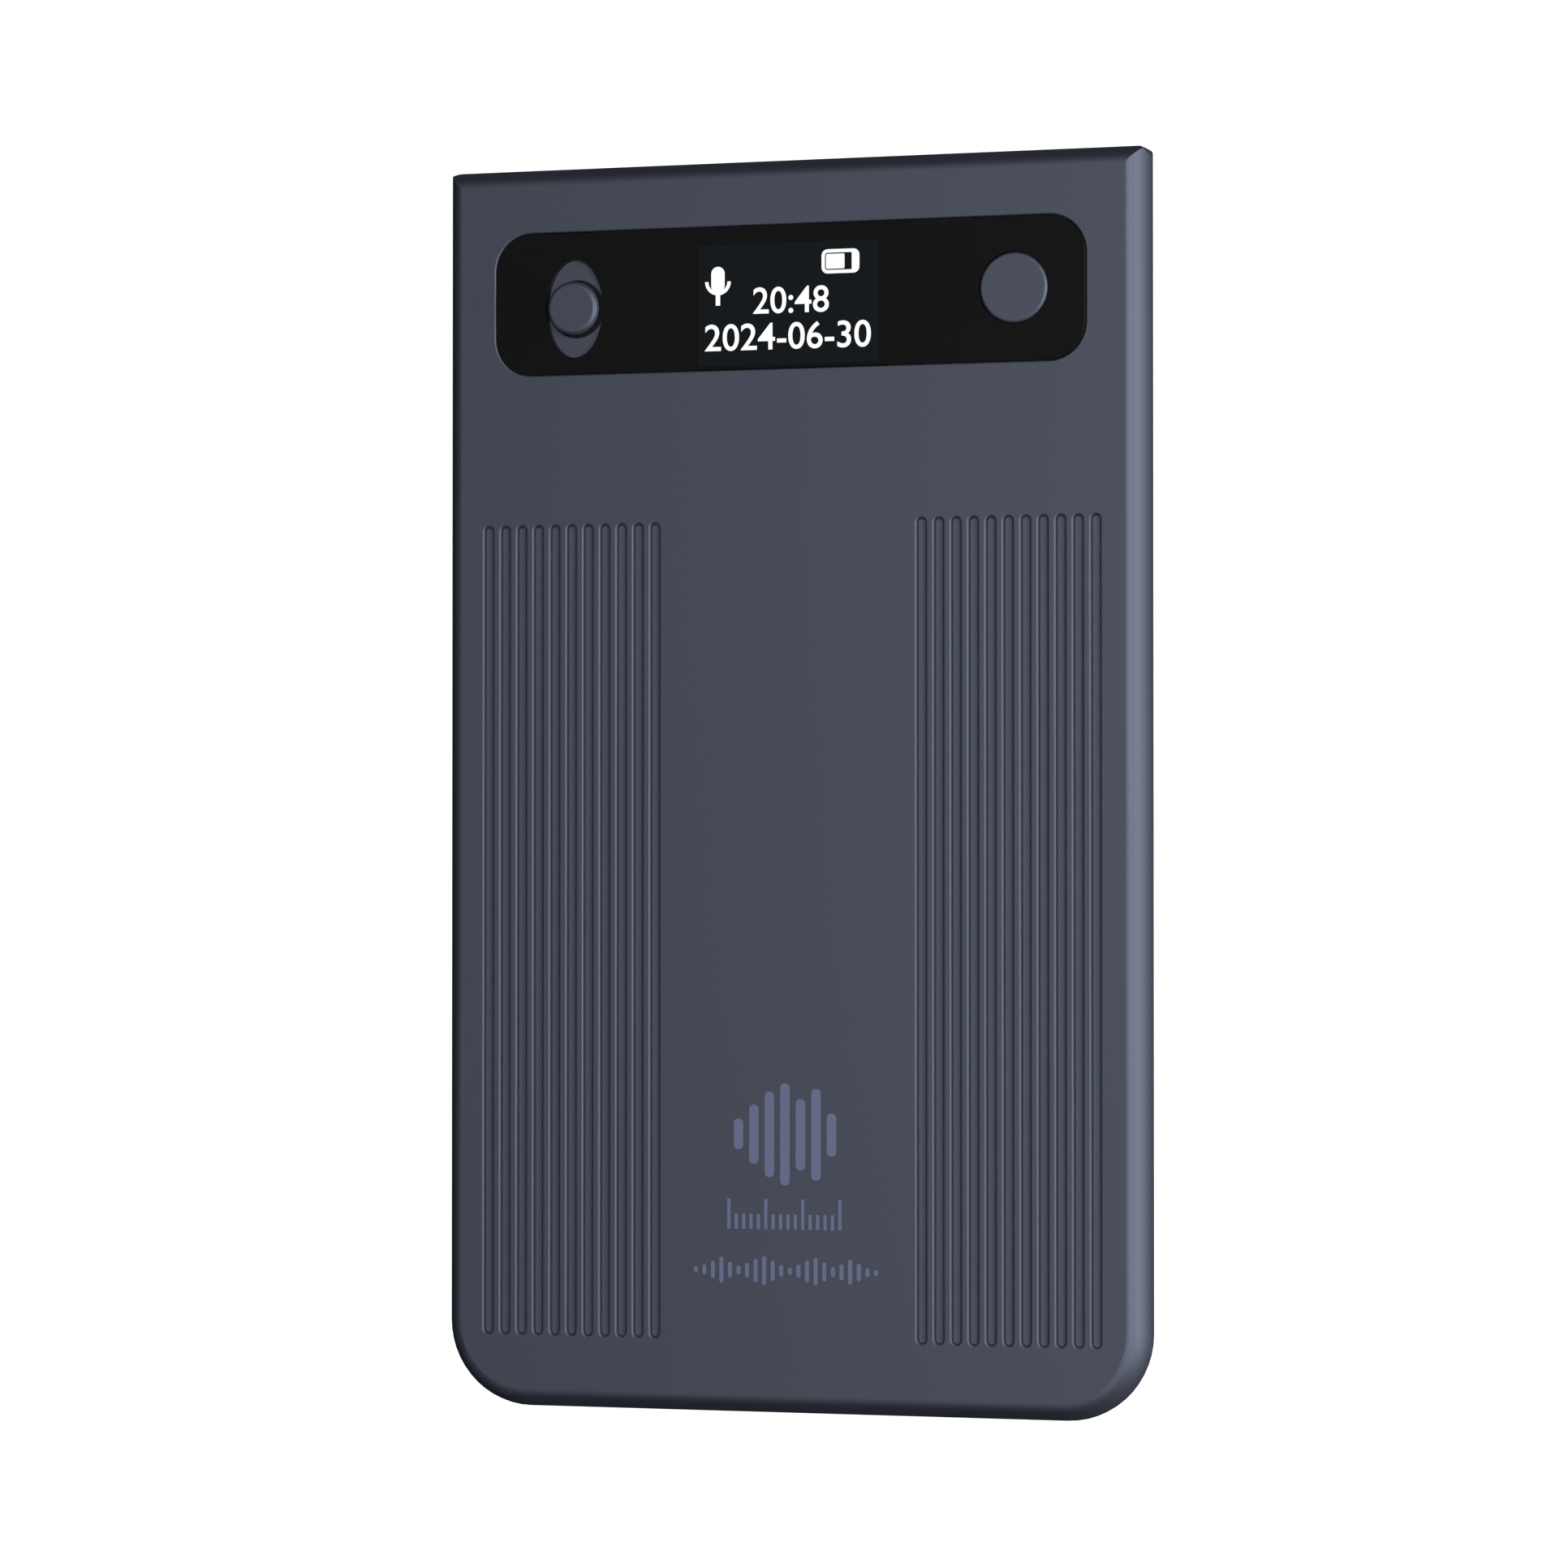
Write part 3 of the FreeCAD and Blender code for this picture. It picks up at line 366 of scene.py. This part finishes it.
def add_frame(shape, x, y, width, height, corner, wall, z0, z1):
    """Rounded flat frame between two heights, added to a bmesh."""
    known = set(shape.faces)
    plate = bmesh.ops.create_grid(shape, x_segments=1, y_segments=1, size=0.5)["verts"]
    bmesh.ops.scale(shape, vec=(width, height, 1.0), verts=plate)
    bmesh.ops.translate(shape, vec=(x, y, z0), verts=plate)
    bmesh.ops.bevel(
        shape, geom=plate, offset=corner, offset_type="OFFSET", affect="VERTICES",
        segments=6, profile=0.5, material=-1, clamp_overlap=True,
    )
    face = [f for f in shape.faces if f not in known]
    rim = bmesh.ops.inset_region(
        shape, faces=face, thickness=wall, use_even_offset=True, use_boundary=True
    )
    bmesh.ops.delete(shape, geom=face, context="FACES")
    grown = bmesh.ops.extrude_face_region(shape, geom=rim["faces"])
    raised = [v for v in grown["geom"] if isinstance(v, bmesh.types.BMVert)]
    bmesh.ops.translate(shape, vec=(0, 0, z1 - z0), verts=raised)


def spin_arc(shape, x, y, inner, outer, z0, z1, steps=20):
    """Lower half of a flat ring, spun about an upright axis, added to a bmesh."""
    corners = [
        shape.verts.new((x - radius, y, z))
        for radius, z in ((inner, z0), (outer, z0), (outer, z1), (inner, z1))
    ]
    section = shape.faces.new(corners)
    bmesh.ops.spin(
        shape, geom=[section, *section.edges, *section.verts], cent=(x, y, 0),
        axis=(0, 0, 1), angle=math.pi, steps=steps, use_duplicate=False,
    )


def text_mesh(name, words, width, height, centre, z0, film, gain):
    """Digits as a thin closed mesh of an exact width and height, centred on a place."""
    curve = bpy.data.curves.new(name, "FONT")
    curve.body = words
    curve.offset = gain
    curve.extrude = 0.5
    curve.resolution_u = 6
    scratch = bpy.data.objects.new(name + "_curve", curve)
    bpy.context.scene.collection.objects.link(scratch)
    bpy.context.view_layer.update()
    mesh = bpy.data.meshes.new_from_object(scratch)
    bpy.data.objects.remove(scratch)
    bpy.data.curves.remove(curve)
    shape = bmesh.new()
    shape.from_mesh(mesh)
    bpy.data.meshes.remove(mesh)
    bmesh.ops.remove_doubles(shape, verts=shape.verts, dist=1e-5)
    low = Vector([min(v.co[i] for v in shape.verts) for i in range(3)])
    high = Vector([max(v.co[i] for v in shape.verts) for i in range(3)])
    middle = (low + high) / 2
    bmesh.ops.translate(shape, vec=-middle, verts=shape.verts)
    size = high - low
    bmesh.ops.scale(
        shape, vec=(width / size.x, height / size.y, film / size.z), verts=shape.verts
    )
    bmesh.ops.translate(shape, vec=(centre[0], centre[1], z0 + film / 2), verts=shape.verts)
    return bm_to_mesh(shape, name)


# ------------------------------------------------------------------ finishes
class RECORDER_OT_shell(bpy.types.Operator):
    """Satin dark blue-grey coating of the housing, cover, button, knob and slot plate"""

    bl_idname = "recorder.shell"
    bl_label = "Shell coating"

    def execute(self, context):
        colours = context.scene.recorder_colours
        coating = grained(
            "shell_coating", shared_grain(), colours.coating, roughness=0.66, mottle=0.03,
            spread=0.04, grain=9000.0, cloud=45.0, bump=0.000003, strength=0.3,
            plain={"Metallic": 1.0, "Coat Weight": 0.1, "Coat Roughness": 0.35},
        )
        finish(
            coating, "front_housing", "back_cover", "record_button",
            "mode_switch_knob", "mode_switch_plate",
        )
        return {"FINISHED"}


class RECORDER_OT_panel(bpy.types.Operator):
    """Black display panel and the slightly blue window in it"""

    bl_idname = "recorder.panel"
    bl_label = "Display panel"

    def execute(self, context):
        colours = context.scene.recorder_colours
        panel = grained(
            "black_acrylic", shared_grain(), colours.panel, roughness=0.3, mottle=0.05,
            spread=0.04, grain=5000.0, cloud=90.0, bump=0.000001, strength=0.2,
            plain={"IOR": 1.49, "Specular IOR Level": 0.2},
        )
        window = grained(
            "display_cover", shared_grain(), colours.window, roughness=0.2, mottle=0.05,
            spread=0.04, grain=5000.0, cloud=90.0, bump=0.000001, strength=0.15,
            plain={"IOR": 1.5, "Specular IOR Level": 0.2},
        )
        finish(panel, "lens_panel")
        finish(window, "display_window")
        return {"FINISHED"}


class RECORDER_OT_plastics(bpy.types.Operator):
    """Moulded plastics, rubber, foam and films inside and on the back"""

    bl_idname = "recorder.plastics"
    bl_label = "Plastics and rubber"

    def execute(self, context):
        grain = shared_grain()
        black = grained("black_moulding", grain, (0.012, 0.012, 0.013, 1), 0.55, grain=4000.0)
        cream = grained("cream_moulding", grain, (0.72, 0.69, 0.60, 1), 0.45, grain=4000.0)
        rubber = grained("boot_rubber", grain, (0.02, 0.02, 0.021, 1), 0.8, mottle=0.15)
        foam = grained(
            "cell_foam", grain, (0.03, 0.03, 0.032, 1), 0.95, mottle=0.3, grain=3500.0,
            bump=0.00006, strength=0.9,
        )
        film = grained("adhesive_film", grain, (0.01, 0.01, 0.011, 1), 0.5, grain=2500.0)
        amber = grained(
            "amber_film", grain, (0.45, 0.20, 0.04, 1), 0.3, mottle=0.1,
            plain={"Coat Weight": 0.5},
        )
        red = grained("red_insulation", grain, (0.42, 0.02, 0.015, 1), 0.45)
        dark = grained("black_insulation", grain, (0.015, 0.015, 0.015, 1), 0.45)
        finish(
            black, "mode_switch_carrier", "mode_switch_lever", "record_switch_base",
            "contact_holder", "display_module",
        )
        finish(
            cream, "display_connector", "battery_connector", "link_connectors",
            "record_switch_plunger",
        )
        finish(rubber, "microphone_boots")
        finish(foam, "display_foam")
        finish(film, "lens_tape", "battery_tape")
        finish(amber, "display_ribbon", "link_ribbon")
        finish(red, "battery_lead_positive")
        finish(dark, "battery_lead_negative")
        return {"FINISHED"}


def drawn_group():
    """Fine drawn lines of a metal: a colour, a roughness and a height."""
    group, given, result = new_group(
        "drawn_lines",
        [
            ("Colour", "NodeSocketColor", (0.6, 0.6, 0.6, 1.0)),
            ("Roughness", "NodeSocketFloat", 0.3),
            ("Stretch", "NodeSocketVector", (1.0, 40.0, 40.0)),
        ],
        [
            ("Colour", "NodeSocketColor"),
            ("Roughness", "NodeSocketFloat"),
            ("Height", "NodeSocketFloat"),
        ],
    )
    place = add_node(group, "ShaderNodeTexCoord")
    turn = add_node(group, "ShaderNodeMapping")
    lines = add_node(group, "ShaderNodeTexNoise", values={"Scale": 120.0, "Detail": 4.0})
    group.links.new(place.outputs["Object"], turn.inputs["Vector"])
    group.links.new(given.outputs["Stretch"], turn.inputs["Scale"])
    group.links.new(turn.outputs["Vector"], lines.inputs["Vector"])
    group.links.new(lines.outputs["Fac"], result.inputs["Height"])

    change = add_node(group, "ShaderNodeMapRange", values={"To Min": -0.08, "To Max": 0.08})
    rough = add_node(group, "ShaderNodeMath", {"operation": "ADD", "use_clamp": True})
    group.links.new(lines.outputs["Fac"], change.inputs["Value"])
    group.links.new(change.outputs["Result"], rough.inputs[0])
    group.links.new(given.outputs["Roughness"], rough.inputs[1])
    group.links.new(rough.outputs[0], result.inputs["Roughness"])

    shade = add_node(group, "ShaderNodeMapRange", values={"To Min": 0.9, "To Max": 1.08})
    tint = add_node(group, "ShaderNodeVectorMath", {"operation": "SCALE"})
    group.links.new(lines.outputs["Fac"], shade.inputs["Value"])
    group.links.new(given.outputs["Colour"], tint.inputs[0])
    group.links.new(shade.outputs["Result"], tint.inputs["Scale"])
    group.links.new(tint.outputs["Vector"], result.inputs["Colour"])
    return group


def brushed(name, group, colour, roughness, stretch=(1.0, 40.0, 40.0)):
    """Metal whose colour, roughness and relief come from the drawn lines group."""
    material, tree, shader = principled(name, {"Metallic": 1.0})
    made = add_node(tree, "ShaderNodeGroup", {"node_tree": group}, {
        "Colour": (*colour, 1.0), "Roughness": roughness, "Stretch": stretch,
    })
    tree.links.new(made.outputs["Colour"], shader.inputs["Base Color"])
    tree.links.new(made.outputs["Roughness"], shader.inputs["Roughness"])
    relief = add_node(tree, "ShaderNodeBump", values={"Strength": 0.15, "Distance": 0.000003})
    tree.links.new(made.outputs["Height"], relief.inputs["Height"])
    tree.links.new(relief.outputs["Normal"], shader.inputs["Normal"])
    return material


class RECORDER_OT_metals(bpy.types.Operator):
    """Sheet metal, plated contacts, magnets, screws and the battery's foil"""

    bl_idname = "recorder.metals"
    bl_label = "Metals"

    def execute(self, context):
        lines = drawn_group()
        tin = brushed("tinned_sheet", lines, (0.60, 0.59, 0.56), 0.32)
        zinc = brushed("black_zinc", lines, (0.09, 0.09, 0.10), 0.4)
        gold = brushed("gold_plate", lines, (0.83, 0.60, 0.25), 0.2)
        nickel = brushed("nickel_plate", lines, (0.62, 0.60, 0.56), 0.18)
        foil = brushed("pouch_foil", lines, (0.55, 0.56, 0.58), 0.42, stretch=(6.0, 1.0, 1.0))
        finish(
            tin, "mode_switch_body", "record_switch_dome", "shield_can", "crystal", "microphones"
        )
        finish(zinc, "back_cover_screws", "board_screws")
        finish(gold, "charge_contacts")
        finish(nickel, "charge_magnets")
        finish(foil, "battery")
        return {"FINISHED"}


def board_material():
    """Green solder mask with faint copper tracks under it."""
    material, tree, shader = principled("solder_mask", {"IOR": 1.5, "Coat Weight": 0.3})
    place = add_node(tree, "ShaderNodeTexCoord")
    cells = add_node(
        tree, "ShaderNodeTexVoronoi", {"distance": "MANHATTAN", "feature": "F1"},
        {"Scale": 700.0, "Randomness": 0.8},
    )
    tree.links.new(place.outputs["Object"], cells.inputs["Vector"])
    tracks = add_node(tree, "ShaderNodeValToRGB")
    tracks.color_ramp.elements[0].position = 0.35
    tracks.color_ramp.elements[0].color = (0.006, 0.055, 0.022, 1)
    tracks.color_ramp.elements[1].position = 0.5
    tracks.color_ramp.elements[1].color = (0.012, 0.10, 0.04, 1)
    tree.links.new(cells.outputs["Distance"], tracks.inputs["Fac"])
    tree.links.new(tracks.outputs["Color"], shader.inputs["Base Color"])
    dust = add_node(tree, "ShaderNodeTexNoise", values={"Scale": 900.0, "Detail": 2.0})
    tree.links.new(place.outputs["Object"], dust.inputs["Vector"])
    rough = add_node(tree, "ShaderNodeMapRange")
    rough.inputs["To Min"].default_value = 0.25
    rough.inputs["To Max"].default_value = 0.42
    tree.links.new(dust.outputs["Fac"], rough.inputs["Value"])
    tree.links.new(rough.outputs["Result"], shader.inputs["Roughness"])
    return material


class RECORDER_OT_boards(bpy.types.Operator):
    """Circuit boards, chips and small ceramic parts"""

    bl_idname = "recorder.boards"
    bl_label = "Boards and chips"

    def execute(self, context):
        grain = shared_grain()
        epoxy = grained("chip_epoxy", grain, (0.015, 0.015, 0.016, 1), 0.6, mottle=0.12)
        ceramic = grained("ceramic_body", grain, (0.42, 0.30, 0.20, 1), 0.5, mottle=0.1)
        finish(board_material(), "main_board", "charge_board", "battery_board")
        finish(
            epoxy, "processor", "power_chip", "flash_memory", "audio_chip", "charge_chip"
        )
        finish(ceramic, "main_board_parts", "charge_board_parts")
        return {"FINISHED"}


# ------------------------------------------------------------------ display read-out
def lit_material(colour):
    """Lit read-out: mostly emission, with the faint raster of its dots."""
    material, tree, shader = principled(
        "lit_dots", {"Roughness": 0.4, "Emission Strength": 1.0}
    )
    place = add_node(tree, "ShaderNodeTexCoord")
    raster = add_node(tree, "ShaderNodeTexNoise", values={"Scale": 4000.0, "Detail": 1.0})
    tree.links.new(place.outputs["Object"], raster.inputs["Vector"])
    level = add_node(tree, "ShaderNodeMapRange")
    level.inputs["To Min"].default_value = 0.93
    level.inputs["To Max"].default_value = 1.0
    tree.links.new(raster.outputs["Fac"], level.inputs["Value"])
    tint = add_node(tree, "ShaderNodeVectorMath", {"operation": "SCALE"})
    tint.inputs[0].default_value = tuple(colour)[:3]
    tree.links.new(level.outputs["Result"], tint.inputs["Scale"])
    tree.links.new(tint.outputs["Vector"], shader.inputs["Emission Color"])
    shader.inputs["Base Color"].default_value = (0.2, 0.2, 0.2, 1.0)
    return material


def lit():
    """The read-out's material, built once."""
    return bpy.data.materials.get("lit_dots") or lit_material(
        bpy.context.scene.recorder_colours.read_out
    )


class RECORDER_OT_digits(bpy.types.Operator):
    """Clock and calendar digits on the display"""

    bl_idname = "recorder.digits"
    bl_label = "Display digits"

    def execute(self, context):
        show = context.scene.recorder_readout
        lines = (
            ("clock_digits", show.clock, show.clock_width, show.clock_height, show.clock_place),
            (
                "calendar_digits", show.calendar, show.calendar_width,
                show.calendar_height, show.calendar_place,
            ),
        )
        for name, words, width, height, place in lines:
            centre = (WINDOW_MIDDLE.x + place[0], WINDOW_MIDDLE.y + place[1])
            mesh = text_mesh(
                name, words, width, height, centre, WINDOW_TOP, show.film, show.stroke_gain
            )
            keep_mesh(name, mesh, lit())
        return {"FINISHED"}


class RECORDER_OT_symbols(bpy.types.Operator):
    """Microphone and battery symbols on the display"""

    bl_idname = "recorder.symbols"
    bl_label = "Display symbols"

    def execute(self, context):
        film = context.scene.recorder_readout.film
        low = WINDOW_TOP
        high = WINDOW_TOP + film
        self.microphone(low, high)
        self.battery(low, high)
        return {"FINISHED"}

    def microphone(self, low, high):
        """Capsule, the cradle round it and its stem."""
        x = WINDOW_MIDDLE.x - 5.41 * MM
        y = WINDOW_MIDDLE.y + 1.42 * MM
        capsule_y = y + 0.47 * MM
        capsule_width = 1.04 * MM
        capsule_height = 1.9 * MM
        capsule_corner = 0.51 * MM
        cradle_y = y + 0.33 * MM
        cradle_inner = 0.74 * MM
        cradle_outer = 1.0 * MM
        stem_y = y - 1.02 * MM
        stem_width = 0.34 * MM
        stem_height = 0.8 * MM
        shape = bmesh.new()
        add_plate(
            shape, x, capsule_y, capsule_width, capsule_height, capsule_corner, low, high, 8
        )
        spin_arc(shape, x, cradle_y, cradle_inner, cradle_outer, low, high)
        add_plate(shape, x, stem_y, stem_width, stem_height, 0, low, high)
        keep_mesh("microphone_symbol", bm_to_mesh(shape, "microphone_symbol"), lit())

    def battery(self, low, high):
        """Outline with its cap, and the charge level inside."""
        x = WINDOW_MIDDLE.x + 4.07 * MM
        y = WINDOW_MIDDLE.y + 2.95 * MM
        long = 2.9 * MM
        tall = 1.76 * MM
        corner = 0.45 * MM
        wall = 0.25 * MM
        gap = 0.09 * MM
        charge_width = 1.42 * MM
        charge_height = 1.08 * MM
        charge_corner = 0.1 * MM
        charge_x = x - long / 2 + wall + gap + charge_width / 2
        cap_x = x + 1.05 * MM
        cap_width = 0.36 * MM
        cap_height = tall - 2 * wall
        shape = bmesh.new()
        add_frame(shape, x, y, long, tall, corner, wall, low, high)
        add_plate(shape, charge_x, y, charge_width, charge_height, charge_corner, low, high)
        add_plate(shape, cap_x, y, cap_width, cap_height, 0, low, high)
        keep_mesh("battery_symbol", bm_to_mesh(shape, "battery_symbol"), lit())


# ------------------------------------------------------------------ printed mark
LEVELS = (0.3, 0.58, 0.84, 1.0, 0.7, 0.9, 0.42)
TICKS = (1.0, 0.5, 0.5, 0.5, 0.5) * 3 + (1.0,)
WAVE = (
    0.2, 0.35, 0.6, 0.9, 0.55, 0.3, 0.5, 0.8, 1.0, 0.7, 0.4, 0.25, 0.45, 0.75, 0.95, 0.65,
    0.35, 0.55, 0.85, 0.6, 0.3, 0.2,
)


def bar_row(name, middle, width, height, levels, share, standing, film):
    """Row of printed bars; share is a bar's width against its pitch."""
    count = len(levels)
    thick = width / (count - 1 + share) * share
    shape = bmesh.new()
    for index, level in enumerate(levels):
        x = middle[0] + (index / (count - 1) - 0.5) * (width - thick)
        tall = height * level
        y = middle[1] - (height - tall) / 2 if standing else middle[1]
        corner = 0 if standing else thick * 0.45
        add_plate(shape, x, y, thick, tall, corner, FACE_TOP, FACE_TOP + film, 4)
    return bm_to_mesh(shape, name)


class RECORDER_OT_print(bpy.types.Operator):
    """Lilac sound-level bars and two scale rows printed on the lower front"""

    bl_idname = "recorder.print"
    bl_label = "Printed mark"

    def execute(self, context):
        colours = context.scene.recorder_colours
        art = context.scene.recorder_print
        film = context.scene.recorder_readout.film
        ink = grained(
            "lilac_ink", shared_grain(), colours.ink, roughness=0.5, mottle=0.05,
            grain=7000.0, bump=0.000002, strength=0.2,
        )
        rows = (
            ("level_bars", art.block_middle, art.block_width, art.block_height,
             LEVELS, 0.6, False),
            ("scale_ticks", art.scale_middle, art.scale_width, art.scale_height,
             TICKS, 0.42, True),
            ("wave_row", art.wave_middle, art.wave_width, art.wave_height,
             WAVE, 0.46, False),
        )
        for name, middle, width, height, levels, share, standing in rows:
            mesh = bar_row(name, middle, width, height, levels, share, standing, film)
            keep_mesh(name, mesh, ink)
        return {"FINISHED"}


# ------------------------------------------------------------------ stage
STUDIO_RADIUS = 3.0
FLOOR_DROP = 0.02 * MM          # floor under the back, so that the two faces don't coincide
FLOOR_GLOW = 0.96
KEY_LEAN = math.radians(28)     # from upright, towards the recorder's right side
KEY_SHIFT = 0.08                # towards the display end, as a share of its reach
KEY_REACH = 0.72
KEY_SIZE = (0.32, 0.6)
SIDE_PLACE = (0.8, 0.0, 0.035)
SIDE_SIZE = (0.6, 0.03)
FILL_PLACE = (0.25, 0.6, 1.3)
FILL_SIZE = (1.2, 0.6)
DARK_COLOUR = (0.8, 0.85, 1.0, 1)
DARK_STRENGTH = 0.008
SENSOR_WIDTH = 36.0             # millimetres, like the lens


def aim(spot, target):
    """Point an object's -Z at a target."""
    spot.rotation_euler = (target - spot.location).to_track_quat("-Z", "Y").to_euler()


def area_light(name, place, target, size, power):
    """White rectangular lamp that faces a target."""
    data = bpy.data.lights.new(name, "AREA")
    data.shape = "RECTANGLE"
    data.size, data.size_y = size
    data.energy = power
    lamp = bpy.data.objects.new(name, data)
    bpy.context.scene.collection.objects.link(lamp)
    lamp.location = place
    aim(lamp, target)


class RECORDER_OT_stage(bpy.types.Operator):
    """Pale floor and backdrop, soft lights and the camera"""

    bl_idname = "recorder.stage"
    bl_label = "Studio"

    def execute(self, context):
        studio = context.scene.recorder_studio
        self.floor()
        self.lights(studio)
        self.camera(context.scene, studio)
        context.scene.view_settings.view_transform = "Standard"
        return {"FINISHED"}

    def floor(self):
        """Pale floor just under the back, and a pale shell round the studio."""
        pale = grained(
            "pale_floor", shared_grain(), (0.86, 0.86, 0.87, 1), roughness=0.9, mottle=0.01,
            grain=300.0, cloud=3.0, bump=0.00001, strength=0.05,
            plain={"Specular IOR Level": 0.0, "Emission Color": (1, 1, 1, 1),
                   "Emission Strength": FLOOR_GLOW},
        )
        ground = bmesh.new()
        bmesh.ops.create_grid(ground, x_segments=1, y_segments=1, size=STUDIO_RADIUS)
        bmesh.ops.translate(ground, vec=(0, 0, -FLOOR_DROP), verts=ground.verts)
        shell = bmesh.new()
        bmesh.ops.create_uvsphere(shell, u_segments=48, v_segments=24, radius=STUDIO_RADIUS)
        for name, shape in (("floor", ground), ("backdrop", shell)):
            mesh = bpy.data.meshes.new(name)
            shape.to_mesh(mesh)
            shape.free()
            mesh.materials.append(pale)
            piece = bpy.data.objects.new(name, mesh)
            bpy.context.scene.collection.objects.link(piece)
            piece.visible_glossy = False
            piece.visible_diffuse = False
            piece.visible_shadow = False

    def lights(self, studio):
        """Soft key at the upper right, a low lamp for the right edge, a weak fill."""
        centre = Vector((0, 0, FACE_TOP))
        key = Vector((math.sin(KEY_LEAN), KEY_SHIFT, math.cos(KEY_LEAN))) * KEY_REACH
        area_light("key", key, centre, KEY_SIZE, studio.key_power)
        area_light("side", Vector(SIDE_PLACE), centre, SIDE_SIZE, studio.side_power)
        area_light("fill", Vector(FILL_PLACE), centre, FILL_SIZE, studio.fill_power)
        world = bpy.data.worlds.new("studio_dark")
        world.use_nodes = True
        back = world.node_tree.nodes["Background"]
        back.inputs["Color"].default_value = DARK_COLOUR
        back.inputs["Strength"].default_value = DARK_STRENGTH
        bpy.context.scene.world = world

    def camera(self, scene, studio):
        """Camera swung to the right side and dipped towards the display end."""
        swing = studio.swing
        dip = studio.dip
        level = math.cos(dip)
        away = Vector((math.sin(swing) * level, math.sin(dip), math.cos(swing) * level))
        right = Vector((math.cos(swing), 0, -math.sin(swing)))
        up = away.cross(right)
        place = Vector((0, 0, FACE_TOP)) + away * studio.distance
        data = bpy.data.cameras.new("camera")
        data.lens = studio.lens
        data.sensor_width = SENSOR_WIDTH
        data.shift_x, data.shift_y = studio.shift
        data.clip_start = 0.01
        data.clip_end = 50.0
        camera = bpy.data.objects.new("camera", data)
        scene.collection.objects.link(camera)
        turn = Matrix((right, up, away)).transposed().to_4x4()
        camera.matrix_world = Matrix.Translation(place) @ turn
        scene.camera = camera


# ------------------------------------------------------------------ panel and registration
STEPS = (
    RECORDER_OT_stage,
    RECORDER_OT_shell,
    RECORDER_OT_panel,
    RECORDER_OT_plastics,
    RECORDER_OT_metals,
    RECORDER_OT_boards,
    RECORDER_OT_digits,
    RECORDER_OT_symbols,
    RECORDER_OT_print,
)


class RECORDER_PT_sidebar(bpy.types.Panel):
    """Sizes, colours and steps of the voice recorder"""

    bl_idname = "RECORDER_PT_sidebar"
    bl_label = "Voice Recorder"
    bl_space_type = "VIEW_3D"
    bl_region_type = "UI"
    bl_category = "Recorder"

    def draw(self, context):
        layout = self.layout
        for step in STEPS:
            layout.operator(step.bl_idname)
        for group in SETTINGS:
            settings = getattr(context.scene, group)
            box = layout.box()
            for name in settings.__annotations__:
                box.prop(settings, name)


SETTINGS = {
    "recorder_readout": RecorderReadout,
    "recorder_print": RecorderPrint,
    "recorder_colours": RecorderColours,
    "recorder_studio": RecorderStudio,
}


def register():
    for group in SETTINGS.values():
        bpy.utils.register_class(group)
    for name, group in SETTINGS.items():
        setattr(bpy.types.Scene, name, bpy.props.PointerProperty(type=group))
    for step in STEPS:
        bpy.utils.register_class(step)
    bpy.utils.register_class(RECORDER_PT_sidebar)


def unregister():
    bpy.utils.unregister_class(RECORDER_PT_sidebar)
    for step in reversed(STEPS):
        bpy.utils.unregister_class(step)
    for name, group in SETTINGS.items():
        delattr(bpy.types.Scene, name)
        bpy.utils.unregister_class(group)


def main():
    register()
    for step in STEPS:
        area, verb = step.bl_idname.split(".")
        getattr(getattr(bpy.ops, area), verb)()


if __name__ == "__main__":
    main()
